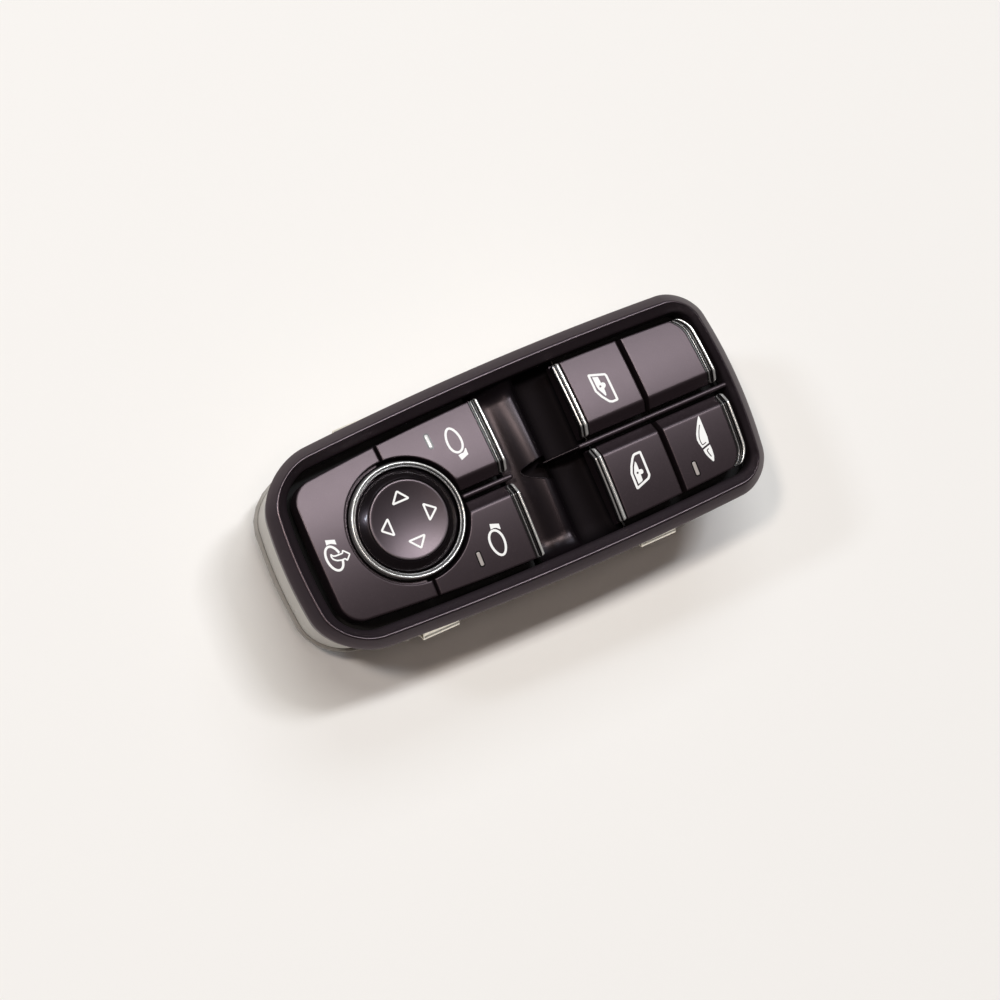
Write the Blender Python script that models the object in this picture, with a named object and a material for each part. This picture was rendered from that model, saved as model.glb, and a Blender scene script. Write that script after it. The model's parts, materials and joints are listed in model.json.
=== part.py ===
# Driver's door power window switch: four window rockers, mirror joystick and three mirror keys.
# Lengths are in metres. X runs along the switch towards the rear window keys, Y across it, Z up.
# The switch stands on the floor of its rear cover, so the lowest face is at Z = 0.

import math

import bpy
import bmesh
from mathutils import Vector

for old_object in list(bpy.data.objects):
    bpy.data.objects.remove(old_object, do_unlink=True)

# Key field, from the mirror fold key to the rear window keys
JOY_KEY_RADIUS = 0.0166
KEY_STRIP = 0.0059
FOLD_SPINE = 0.0091
SELECT_KEY_LENGTH = 0.0306
WELL_LENGTH = 0.0222
FRONT_KEY_LENGTH = 0.0195
KEY_SEAM = 0.0014
REAR_KEY_LENGTH = 0.0207
KEY_BOW_RADIUS = 0.710
KEY_FOOT_Y = 0.0017
FACE_RISE = 0.0003
CROWN_RADIUS = 0.140
CHAMFER_Y = 0.0045
CHAMFER_DROP = 0.0024
KEY_HEIGHT = 0.0073
KEY_WALL = 0.0013
KEY_ROOF = 0.0016
REAR_KEY_CORNER = 0.0065
FOLD_KEY_CORNER = 0.0060
ROCKER_SWING = math.radians(6.0)
PUSH_TRAVEL = 0.0010

# Bezel outline and section
SIDE_GAP = 0.0016
LEFT_GAP = 0.0027
RIGHT_GAP = 0.0020
WIDEST_FROM_WELL = 0.0164
SIDE_BOW_RADIUS = 1.000
END_BOW_RADIUS = 0.140
CORNER_LEFT = 0.0150
CORNER_RIGHT = 0.0095
SKIRT_DEPTH = 0.0100
SKIRT_WALL = 0.0015
SKIRT_STEP = 0.0009
FIELD_WALL_RISE = 0.0020
FLANK_HEIGHT = 0.0032
CREST_INSET = 0.0027
SLOPE_DROP = 0.0026
SLOPE_SIDE = 0.0032
SLOPE_LEFT = 0.0034
SLOPE_RIGHT = 0.0014
FIELD_WALL = 0.0014
DIVIDER_WIDTH = 0.0013
DIVIDER_DROP = 0.0026

# Finger well between the mirror keys and the window keys
WELL_WALL = 0.0014
WELL_DEPTH = 0.0125
WELL_UNDERCUT = 0.0022
ROLL_DEPTH = 0.0050
ROLL_LENGTH = 0.0108
LEAF_NEAR = 0.0028
LEAF_FAR = 0.0066

# Indicator lenses
LENS_WIDTH = 0.0012
LENS_LENGTH = 0.0042
LENS_DEPTH = 0.0030
LENS_FROM_EDGE = 0.0059
LENS_FROM_RING = 0.0030
REAR_LENS_OFFSET = 0.0045
REAR_LENS_SHIFT = 0.0009

# Chrome trim on the key ends
TRIM_WIDTH = 0.0023
TRIM_DEPTH = 0.0024
TRIM_BEAD = 0.0014
TRIM_PROUD = 0.0002

# Mirror joystick
RING_GAP = 0.0012
RING_FACE = 0.00195
RING_WALL = 0.0005
RING_RISE = 0.0006
SKIRT_FACE = 0.00285
DISH_DEPTH = 0.0011
KNOB_EDGE_DROP = 0.0008
JOY_SWING = math.radians(4.0)
JOY_LEVER = 0.0048
GIMBAL_DROP = 0.0056
GIMBAL_RADIUS = 0.0074
GIMBAL_WALL = 0.0022
GIMBAL_HEIGHT = 0.0040
GIMBAL_PIN = 0.0012
STEM_RADIUS = 0.0034
JOY_FOOT_RADIUS = 0.0068
JOY_FOOT_THICKNESS = 0.0009

# Housing
TUB_HEIGHT = 0.0133
KEY_ROOM = 0.0110
HOUSING_INSET = 0.0031
HOUSING_DRAFT = 0.0005
HOUSING_WALL = 0.0016
DECK_THICKNESS = 0.0016
ROW_SHIFT = 0.0008
CHEEK_SPACING = 0.0099
CHEEK_WALL = 0.0015
CHEEK_LENGTH = 0.0070
PIVOT_DROP = 0.0054
PIVOT_FROM_TAIL = 0.0058
PIVOT_RADIUS = 0.0014
COLUMN_RADIUS = 0.0028
PILOT_RADIUS = 0.0012
COLUMN_FROM_SIDE = 0.0120
COLUMN_FROM_LEFT = 0.0175
COLUMN_FROM_RIGHT = 0.0115

# Carriers under the keys
FOOT_SPREAD = 0.0030
FOOT_LENGTH = 0.0024
FOOT_WIDTH = 0.0050
BARREL_WALL = 0.0008
PLATE_THICKNESS = 0.0012
PLATE_WIDTH = 0.0070
FRONT_PLATE_BACK = 0.0044
REAR_PLATE_BACK = 0.0060
GUIDE_REACH = 0.0030
LEG_DEPTH = 0.0030
SELECT_LEG_SHARE = 0.24
FOLD_LEG_SHARE = 0.60
FOLD_PLATE_MARGIN = 0.0130
FOLD_LEG_MARGIN = 0.0010

# Rear cover and connector
COVER_THICKNESS = 0.0016
COVER_LIP = 0.0012
COVER_PROUD = 0.0010
TUB_LENGTH = 0.0700
TUB_FROM_SIDE = 0.0110
TUB_FROM_COLUMN = 0.0110
TUB_WALL = 0.0016
TUB_CORNER = 0.0050
TUB_DRAFT = 0.0008
PLUG_HEIGHT = 0.0090
PLUG_DEPTH = 0.0157
PLUG_WALL = 0.0012
PLUG_SIDE = 0.0015
PLUG_PROUD = 0.0014
PIN_SIZE = 0.0007
PIN_PITCH = 0.0040
PIN_ROW_PITCH = 0.0028
PIN_COUNT = 6

# Electronics
BOARD_RISE = 0.0017
BOARD_THICKNESS = 0.0016
MAT_THICKNESS = 0.0008
DOME_RADIUS = 0.0026
DOME_RISE = 0.0023
LED_SIZE = 0.0030
CHIP_SIZE = 0.0110
CHIP_THICKNESS = 0.0016
CHIP_CORNER = 0.00055
CHIP_OFFSET = 0.0060

# Retaining clips
CLIP_WIDTH = 0.0106
CLIP_SHEET = 0.0005
CLIP_PROUD = 0.0012
CLIP_FROM_JOY = 0.0009
CLIP_FROM_WELL = 0.0137
CLIP_FOOT_HEIGHT = 0.0032
SOCKET_WALL = 0.0012

# Fits
SEAT = 0.0003
PIVOT_PLAY = 0.00015
SLIDE_PLAY = 0.00025
GROUND_Z = 0.0

# Facets
CORNER_STEPS = 5
SIDE_STEPS = 6
ROUND_STEPS = 28

# Sizes in plan that follow
KEY_HALF_WIDTH = JOY_KEY_RADIUS + KEY_STRIP
HALF_WIDTH = KEY_HALF_WIDTH + SIDE_GAP + SLOPE_SIDE + CREST_INSET
FOLD_KEY_LENGTH = JOY_KEY_RADIUS + FOLD_SPINE
LEFT_MARGIN = CREST_INSET + SLOPE_LEFT + LEFT_GAP
RIGHT_MARGIN = CREST_INSET + SLOPE_RIGHT + RIGHT_GAP
FIELD_LENGTH = (FOLD_KEY_LENGTH + SELECT_KEY_LENGTH + WELL_LENGTH + FRONT_KEY_LENGTH + KEY_SEAM
                + REAR_KEY_LENGTH)
HALF_LENGTH = (LEFT_MARGIN + FIELD_LENGTH + RIGHT_MARGIN) / 2
JOY_X = -HALF_LENGTH + LEFT_MARGIN + FOLD_KEY_LENGTH
WELL_X = JOY_X + SELECT_KEY_LENGTH
WELL_END = WELL_X + WELL_LENGTH
FRONT_TAIL = WELL_END + FRONT_KEY_LENGTH
REAR_TAIL = FRONT_TAIL + KEY_SEAM
REAR_LIP = REAR_TAIL + REAR_KEY_LENGTH
WIDEST_X = WELL_X + WIDEST_FROM_WELL
FRONT_PIVOT_X = FRONT_TAIL - PIVOT_FROM_TAIL
REAR_PIVOT_X = REAR_TAIL + PIVOT_FROM_TAIL
ROW_Y = (KEY_FOOT_Y + KEY_HALF_WIDTH) / 2 - ROW_SHIFT
WELL_WALL_X = WELL_END + WELL_UNDERCUT
ROLL_X = WELL_X + SEAT + WELL_WALL + SEAT
ROLL_END = ROLL_X + ROLL_LENGTH
RING_RADIUS = JOY_KEY_RADIUS - RING_GAP
KNOB_RADIUS = RING_RADIUS - RING_FACE
DISH_RADIUS = KNOB_RADIUS - SKIRT_FACE
LENS_Y = KEY_HALF_WIDTH - LENS_FROM_EDGE
COLUMN_Y = HALF_WIDTH - COLUMN_FROM_SIDE
COLUMN_LEFT_X = -HALF_LENGTH + COLUMN_FROM_LEFT
COLUMN_RIGHT_X = HALF_LENGTH - COLUMN_FROM_RIGHT
TUB_WIDTH = 2 * (HALF_WIDTH - TUB_FROM_SIDE)
TUB_HIGH_X = COLUMN_RIGHT_X - TUB_FROM_COLUMN
TUB_X = TUB_HIGH_X - TUB_LENGTH / 2
CHIP_X = TUB_X - CHIP_OFFSET
PLUG_WIDTH = PIN_COUNT * PIN_PITCH + 2 * PLUG_SIDE
NOSE_X = TUB_HIGH_X + PLUG_PROUD
CLIP_LEFT_X = JOY_X + CLIP_FROM_JOY
CLIP_RIGHT_X = WELL_END + CLIP_FROM_WELL

# Levels that follow, from the ground up
HOUSING_BOTTOM_Z = GROUND_Z + TUB_HEIGHT
FLANGE_Z = HOUSING_BOTTOM_Z - SEAT
BOARD_Z = HOUSING_BOTTOM_Z + BOARD_RISE
BOARD_TOP_Z = BOARD_Z + BOARD_THICKNESS
MAT_Z = BOARD_TOP_Z + SEAT
DOME_TOP_Z = MAT_Z + MAT_THICKNESS + DOME_RISE
JOY_PIVOT_Z = DOME_TOP_Z + JOY_LEVER
DECK_UNDER_Z = JOY_PIVOT_Z + GIMBAL_DROP
DECK_Z = DECK_UNDER_Z + DECK_THICKNESS
THROUGH_DECK = (DECK_UNDER_Z - 0.001, DECK_Z + 0.001)
CREST_Z = DECK_Z + KEY_ROOM
FACE_Z = CREST_Z + FACE_RISE
PIVOT_Z = CREST_Z - PIVOT_DROP
SKIRT_Z = CREST_Z - SKIRT_DEPTH
FIELD_FOOT_Z = SKIRT_Z + FIELD_WALL_RISE
HOUSING_TOP_Z = FIELD_FOOT_Z - SEAT
LENS_FOOT_Z = FACE_Z - LENS_DEPTH
KNOB_EDGE_Z = CREST_Z - KNOB_EDGE_DROP
KNOB_SPHERE = math.hypot(KNOB_RADIUS, KNOB_EDGE_Z - JOY_PIVOT_Z)
DISH_EDGE_Z = JOY_PIVOT_Z + math.sqrt(KNOB_SPHERE**2 - DISH_RADIUS**2)
FOOT_PLAY = (FOOT_SPREAD + FOOT_LENGTH / 2) * math.sin(ROCKER_SWING) + SEAT
JOY_PLAY = JOY_FOOT_RADIUS * math.sin(JOY_SWING) + SEAT

# Room for the push carriers inside their keys
SELECT_HIGH_X = WELL_X - TRIM_WIDTH - KEY_WALL - 2 * SEAT
SELECT_LOW_X = (JOY_X + math.sqrt(JOY_KEY_RADIUS**2 - (ROW_Y - PLATE_WIDTH / 2) ** 2)
                + KEY_WALL + SEAT)
SELECT_PLATE = SELECT_HIGH_X - SELECT_LOW_X
SELECT_X = (SELECT_HIGH_X + SELECT_LOW_X) / 2
FOLD_PLATE_WIDTH = FOLD_SPINE - 2 * KEY_WALL - 5 * SEAT
FOLD_PLATE = 2 * (KEY_HALF_WIDTH - FOLD_PLATE_MARGIN)
FOLD_X = JOY_X - JOY_KEY_RADIUS - KEY_WALL - 2 * SEAT - FOLD_PLATE_WIDTH / 2
SELECT_LEG = SELECT_PLATE * SELECT_LEG_SHARE
SELECT_PITCH = (SELECT_PLATE - SELECT_LEG) / 2
FOLD_LEG = FOLD_PLATE_WIDTH * FOLD_LEG_SHARE
FOLD_PITCH = (FOLD_PLATE - LEG_DEPTH) / 2 - FOLD_LEG_MARGIN

# Places of what repeats
COLUMNS = [(x, side * COLUMN_Y) for x in (COLUMN_LEFT_X, COLUMN_RIGHT_X) for side in (1, -1)]
INDICATORS = {
    "left_mirror": (JOY_X + JOY_KEY_RADIUS - LENS_FROM_RING, LENS_Y),
    "right_mirror": (JOY_X + JOY_KEY_RADIUS - LENS_FROM_RING, -LENS_Y),
    "rear_window": (REAR_TAIL + REAR_LENS_OFFSET, -LENS_Y - REAR_LENS_SHIFT),
}
PUSH_LEGS = {
    "left_mirror": [(SELECT_X + SELECT_PITCH * i, ROW_Y, SELECT_LEG) for i in (-1, 0, 1)],
    "right_mirror": [(SELECT_X + SELECT_PITCH * i, -ROW_Y, SELECT_LEG) for i in (-1, 0, 1)],
    "mirror_fold": [(FOLD_X, FOLD_PITCH * i, FOLD_LEG) for i in (-1, 0, 1)],
}
ROCKER_FEET = [(x + side * FOOT_SPREAD, row * ROW_Y) for x in (FRONT_PIVOT_X, REAR_PIVOT_X)
               for side in (1, -1) for row in (1, -1)]
JOY_DOME = JOY_FOOT_RADIUS - DOME_RADIUS * 0.6
JOY_FEET = [(JOY_X + JOY_DOME * dx, JOY_DOME * dy) for dx, dy in ((1, 0), (-1, 0), (0, 1), (0, -1))]
DOME_PLACES = ROCKER_FEET + [legs[1][:2] for legs in PUSH_LEGS.values()] + JOY_FEET


# Materials

def make_material(name, colour, roughness, metallic=0.0):
    """Return a Principled material."""
    material = bpy.data.materials.new(name)
    material.use_nodes = True
    shader = material.node_tree.nodes["Principled BSDF"]
    shader.inputs["Base Color"].default_value = (*colour, 1.0)
    shader.inputs["Roughness"].default_value = roughness
    shader.inputs["Metallic"].default_value = metallic
    return material


MATERIALS = {
    "bezel_plastic": make_material("bezel_plastic", (0.035, 0.027, 0.032), 0.42),
    "key_plastic": make_material("key_plastic", (0.085, 0.068, 0.075), 0.48),
    "gloss_black": make_material("gloss_black", (0.012, 0.010, 0.012), 0.12),
    "chrome": make_material("chrome", (0.80, 0.81, 0.82), 0.10, 1.0),
    "housing_plastic": make_material("housing_plastic", (0.58, 0.56, 0.50), 0.55),
    "carrier_plastic": make_material("carrier_plastic", (0.55, 0.55, 0.53), 0.50),
    "connector_plastic": make_material("connector_plastic", (0.03, 0.03, 0.032), 0.50),
    "board_laminate": make_material("board_laminate", (0.02, 0.14, 0.06), 0.40),
    "mat_rubber": make_material("mat_rubber", (0.45, 0.46, 0.47), 0.70),
    "pin_metal": make_material("pin_metal", (0.75, 0.72, 0.62), 0.25, 1.0),
    "spring_steel": make_material("spring_steel", (0.70, 0.69, 0.66), 0.28, 1.0),
    "lens_plastic": make_material("lens_plastic", (0.80, 0.76, 0.68), 0.30),
    "chip_resin": make_material("chip_resin", (0.02, 0.02, 0.02), 0.60),
}


# Modelling helpers

def add_object(name, bm):
    """Turn a bmesh into a linked object with outward faces."""
    bmesh.ops.recalc_face_normals(bm, faces=bm.faces)
    mesh = bpy.data.meshes.new(name)
    bm.to_mesh(mesh)
    bm.free()
    obj = bpy.data.objects.new(name, mesh)
    bpy.context.scene.collection.objects.link(obj)
    return obj


def loft(name, rings, cyclic=False):
    """Skin rings of equal count; an open stack is capped, a cyclic one closes on itself."""
    bm = bmesh.new()
    loops = [[bm.verts.new(point) for point in ring] for ring in rings]
    pairs = list(zip(loops, loops[1:]))
    if cyclic:
        pairs.append((loops[-1], loops[0]))
    for low, high in pairs:
        for i in range(len(low)):
            j = (i + 1) % len(low)
            bm.faces.new((low[i], low[j], high[j], high[i]))
    if not cyclic:
        bm.faces.new(loops[0])
        bm.faces.new(loops[-1])
    return add_object(name, bm)


def prism(name, outline, low_z, high_z):
    """Extrude a plan outline upwards."""
    return loft(name, [[(x, y, z) for x, y in outline] for z in (low_z, high_z)])


def bar_along_y(name, section, low_y, high_y):
    """Extrude an XZ section across the switch."""
    return loft(name, [[(x, y, z) for x, z in section] for y in (low_y, high_y)])


def bar_along_x(name, section, low_x, high_x):
    """Extrude a YZ section along the switch."""
    return loft(name, [[(x, y, z) for y, z in section] for x in (low_x, high_x)])


def block(name, x_range, y_range, z_range):
    """Make a plain rectangular block."""
    outline = [(x_range[0], y_range[0]), (x_range[1], y_range[0]),
               (x_range[1], y_range[1]), (x_range[0], y_range[1])]
    return prism(name, outline, z_range[0], z_range[1])


def circle(centre, radius, count, phase=0.0):
    """Return points of a circle in the plan."""
    angles = [2 * math.pi * (i + phase) / count for i in range(count)]
    return [(centre[0] + radius * math.cos(a), centre[1] + radius * math.sin(a)) for a in angles]


def rod(name, axis, centre, radius, start, end, count=10):
    """Make a round rod along X, Y or Z between two stations on its axis."""
    points = circle((0.0, 0.0), radius, count, 0.5)
    rings = []
    for station in (start, end):
        if axis == "X":
            rings.append([(station, centre[1] + u, centre[2] + v) for u, v in points])
        elif axis == "Y":
            rings.append([(centre[0] + u, station, centre[2] + v) for u, v in points])
        else:
            rings.append([(centre[0] + u, centre[1] + v, station) for u, v in points])
    return loft(name, rings)


def revolve(name, profile, centre, count):
    """Turn a closed (radius, z) profile about a vertical axis."""
    bm = bmesh.new()
    loops = []
    for radius, z in profile:
        if radius < 1e-7:
            loops.append([bm.verts.new((centre[0], centre[1], z))])
        else:
            loops.append([bm.verts.new((x, y, z)) for x, y in circle(centre, radius, count)])
    for low, high in zip(loops, loops[1:] + loops[:1]):
        if len(low) == 1 and len(high) == 1:
            continue
        for i in range(count):
            j = (i + 1) % count
            corners = [low[i % len(low)], low[j % len(low)], high[j % len(high)], high[i % len(high)]]
            bm.faces.new(list(dict.fromkeys(corners)))
    return add_object(name, bm)


def combine(target, tools, operation):
    """Apply exact booleans with the tools, then drop them."""
    for tool in tools:
        modifier = target.modifiers.new("combine", "BOOLEAN")
        modifier.solver = "EXACT"
        modifier.operation = operation
        modifier.object = tool
    depsgraph = bpy.context.evaluated_depsgraph_get()
    mesh = bpy.data.meshes.new_from_object(target.evaluated_get(depsgraph))
    target.modifiers.clear()
    target.data = mesh
    for tool in tools:
        bpy.data.objects.remove(tool, do_unlink=True)
    bm = bmesh.new()
    bm.from_mesh(mesh)
    bmesh.ops.remove_doubles(bm, verts=bm.verts, dist=1e-7)
    bmesh.ops.dissolve_limit(bm, angle_limit=math.radians(0.2), verts=bm.verts, edges=bm.edges)
    bm.to_mesh(mesh)
    bm.free()
    return target


def finish(obj, name, material, smooth=False):
    """Name an object, give it its material and, if it is round, its smooth shading."""
    obj.name = name
    obj.data.name = name
    obj.data.materials.clear()
    obj.data.materials.append(MATERIALS[material])
    if smooth:
        for polygon in obj.data.polygons:
            polygon.use_smooth = True
        obj.data.set_sharp_from_angle(angle=math.radians(35))
    return obj


# Outlines

def bow(x, y):
    """Bend a straight-sided point to the barrel sides and bowed ends of the bezel."""
    side = (x - WIDEST_X) ** 2 / (2 * SIDE_BOW_RADIUS)
    end = y**2 / (2 * END_BOW_RADIUS)
    return (x * (1 - end / HALF_LENGTH), y * (1 - side / HALF_WIDTH))


def corner(centre, radius, start, steps):
    """Return a quarter arc of plan points."""
    angles = [start + math.pi / 2 * i / steps for i in range(steps + 1)]
    return [(centre[0] + radius * math.cos(a), centre[1] + radius * math.sin(a)) for a in angles]


def bezel_outline(side, left=None, right=None):
    """Return the bezel's outline moved inwards by a side, a left and a right inset."""
    left = side if left is None else left
    right = side if right is None else right
    low = -HALF_LENGTH + left
    high = HALF_LENGTH - right
    width = HALF_WIDTH - side
    r_left = max(CORNER_LEFT - (side + left) / 2, 0.0015)
    r_right = max(CORNER_RIGHT - (side + right) / 2, 0.0015)
    right_x = high - r_right
    left_x = low + r_left
    side_xs = [right_x + (left_x - right_x) * i / SIDE_STEPS for i in range(1, SIDE_STEPS)]
    points = corner((right_x, width - r_right), r_right, 0.0, CORNER_STEPS)
    points += [(x, width) for x in side_xs]
    points += corner((left_x, width - r_left), r_left, math.pi / 2, CORNER_STEPS)
    points.append((low, 0.0))
    points += corner((left_x, -width + r_left), r_left, math.pi, CORNER_STEPS)
    points += [(x, -width) for x in reversed(side_xs)]
    points += corner((right_x, -width + r_right), r_right, 1.5 * math.pi, CORNER_STEPS)
    points.append((high, 0.0))
    return [bow(x, y) for x, y in points]


def bezel_half_width(x):
    """Return half the bezel's outer width at a station."""
    return HALF_WIDTH - (x - WIDEST_X) ** 2 / (2 * SIDE_BOW_RADIUS)


def key_edge(x):
    """Return the outer edge of the key field at a station."""
    return KEY_HALF_WIDTH - (x - WIDEST_X) ** 2 / (2 * KEY_BOW_RADIUS)


def face_z(y):
    """Return the crowned key face height across the switch."""
    return FACE_Z - y**2 / (2 * CROWN_RADIUS)


def rear_lip_x(y):
    """Return the rounded end of the rear keys at a station across the switch."""
    straight = KEY_HALF_WIDTH - REAR_KEY_CORNER
    end = REAR_LIP - y**2 / (2 * END_BOW_RADIUS) / 2
    over = max(abs(y) - straight, 0.0)
    return end - REAR_KEY_CORNER + math.sqrt(max(REAR_KEY_CORNER**2 - over**2, 0.0))


# Bezel

def field_insets(extra):
    """Return the side, left and right insets of the key field wall plus an extra."""
    return (CREST_INSET + SLOPE_SIDE + extra, CREST_INSET + SLOPE_LEFT + extra,
            CREST_INSET + SLOPE_RIGHT + extra)


def slope_insets(share):
    """Return the insets part way down the inner slope."""
    return (CREST_INSET + SLOPE_SIDE * share, CREST_INSET + SLOPE_LEFT * share,
            CREST_INSET + SLOPE_RIGHT * share)


def ring_at(insets, z):
    """Return a bezel outline as a ring of points at a height."""
    return [(x, y, z) for x, y in bezel_outline(*insets)]


def bezel_rings():
    """Return the rings of the bezel's section, from the skirt foot over the crest and back."""
    flank_z = CREST_Z - FLANK_HEIGHT
    slope_z = CREST_Z - SLOPE_DROP
    foot = SKIRT_STEP + 0.0004
    inner = foot + SKIRT_WALL
    rings = [
        ring_at((foot, foot, foot), SKIRT_Z),
        ring_at((SKIRT_STEP, SKIRT_STEP, SKIRT_STEP), flank_z - 0.0002),
        ring_at((0.0, 0.0, 0.0), flank_z + 0.0002),
        ring_at((0.0001, 0.0001, 0.0001), flank_z + FLANK_HEIGHT * 0.30),
        ring_at([CREST_INSET * 0.30] * 3, flank_z + FLANK_HEIGHT * 0.72),
        ring_at([CREST_INSET * 0.68] * 3, flank_z + FLANK_HEIGHT * 0.94),
        ring_at([CREST_INSET] * 3, CREST_Z),
        ring_at(slope_insets(0.14), CREST_Z - SLOPE_DROP * 0.05),
        ring_at(slope_insets(0.38), CREST_Z - SLOPE_DROP * 0.24),
        ring_at(slope_insets(0.90), slope_z + SLOPE_DROP * 0.16),
        ring_at(slope_insets(1.0), slope_z - 0.0003),
        ring_at(field_insets(0.0), FIELD_FOOT_Z),
        ring_at(field_insets(-FIELD_WALL), FIELD_FOOT_Z),
        ring_at(field_insets(-FIELD_WALL), slope_z - FIELD_WALL),
        ring_at([inner] * 3, flank_z - 0.0010),
        ring_at([inner] * 3, SKIRT_Z),
    ]
    return rings


def well_section():
    """Return the closed XZ section of the finger well's floor, roll first."""
    roll = CREST_Z - ROLL_DEPTH
    floor = CREST_Z - WELL_DEPTH
    start = WELL_X + SEAT
    top = [(start, roll - 0.0006), (start + WELL_WALL, roll - 0.0010)]
    for share, drop in ((0.28, 0.0014), (0.48, 0.0008), (0.66, 0.0002), (0.80, 0.0), (0.91, 0.0005),
                        (0.98, 0.0016), (1.0, 0.0032)):
        top.append((ROLL_X + ROLL_LENGTH * share, roll - drop))
    top += [(ROLL_END + 0.0003, floor + 0.0022), (ROLL_END + 0.0012, floor + 0.0006),
            (ROLL_END + 0.0030, floor), (WELL_WALL_X - 0.0016, floor),
            (WELL_WALL_X - 0.0004, floor + 0.0008), (WELL_WALL_X, floor + 0.0030)]
    under = [(WELL_WALL_X + WELL_WALL, floor + 0.0030), (WELL_WALL_X + WELL_WALL, floor - WELL_WALL),
             (ROLL_END - WELL_WALL, floor - WELL_WALL), (ROLL_END - WELL_WALL, roll - 0.0042),
             (ROLL_END - 0.0030, roll - 0.0022), (start + 0.0030, roll - 0.0032),
             (start + WELL_WALL, roll - 0.0042), (start + WELL_WALL, FIELD_FOOT_Z),
             (start, FIELD_FOOT_Z)]
    return top + under


def leaf_outline(margin=0.0):
    """Return the plan outline of the pointed pocket around the divider's end."""
    tip = ROLL_X + 0.0002 - margin
    end = ROLL_END + 0.0004
    shares = (0.12, 0.3, 0.5, 0.75, 1.0)
    near = [(tip + (end - tip) * t, LEAF_NEAR * math.sqrt(t) + margin) for t in reversed(shares)]
    far = [(tip + (end - tip) * t, -LEAF_FAR * t**0.72 - margin) for t in shares]
    return near + [(tip, 0.0)] + far


def leaf_pocket():
    """Return the pocket's floor and side walls, which hang below the roll."""
    low = CREST_Z - WELL_DEPTH - WELL_WALL
    shell = prism("pocket", leaf_outline(WELL_WALL * 0.7), low, CREST_Z - ROLL_DEPTH - 0.0020)
    hollow = prism("hollow", leaf_outline(), low + WELL_WALL, CREST_Z)
    return combine(shell, [hollow], "DIFFERENCE")


def rounded_rib(x_low, x_high, low_z, high_z):
    """Return a divider rib along the centre line with a rounded top."""
    half = DIVIDER_WIDTH / 2
    shoulder = high_z - half * 0.7
    round_z = high_z - half * 0.15
    section = [(-half, low_z), (half, low_z), (half, shoulder), (half * 0.6, round_z), (0.0, high_z),
               (-half * 0.6, round_z), (-half, shoulder)]
    return bar_along_x("rib", section, x_low, x_high)


def build_bezel():
    """Build the bezel frame with its finger well and the divider ribs."""
    bezel = loft("bezel", bezel_rings(), cyclic=True)
    wall_in = HALF_WIDTH - CREST_INSET - SLOPE_SIDE - 0.0001
    wall_out = wall_in + FIELD_WALL * 0.6
    well = bar_along_y("well", well_section(), -wall_out, wall_out)
    combine(well, [prism("leaf", leaf_outline(), CREST_Z - WELL_DEPTH, CREST_Z)], "DIFFERENCE")
    low = CREST_Z - WELL_DEPTH - WELL_WALL
    walls = []
    for side in (1, -1):
        y_range = sorted((side * wall_in, side * wall_out))
        walls.append(block("wall", (WELL_X + SEAT, WELL_WALL_X + WELL_WALL), y_range,
                           (low, FIELD_FOOT_Z + 0.0010)))
    rib_z = CREST_Z - DIVIDER_DROP
    half = DIVIDER_WIDTH / 2
    end_x = HALF_LENGTH - CREST_INSET - SLOPE_RIGHT + FIELD_WALL * 0.5
    right_rib = rounded_rib(ROLL_X + ROLL_LENGTH * 0.80, end_x, FIELD_FOOT_Z, rib_z)
    foot_rib = block("foot_rib", (ROLL_X + ROLL_LENGTH * 0.86, WELL_WALL_X + WELL_WALL * 0.5),
                     (-half, half), (low + WELL_WALL * 0.5, FIELD_FOOT_Z + 0.0010))
    left_rib = rounded_rib(JOY_X + JOY_KEY_RADIUS, WELL_X + SEAT + WELL_WALL * 0.5, FIELD_FOOT_Z, rib_z)
    combine(bezel, [well, leaf_pocket()] + walls + [right_rib, foot_rib, left_rib], "UNION")
    return finish(bezel, "bezel", "bezel_plastic", True)


# Housing

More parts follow.
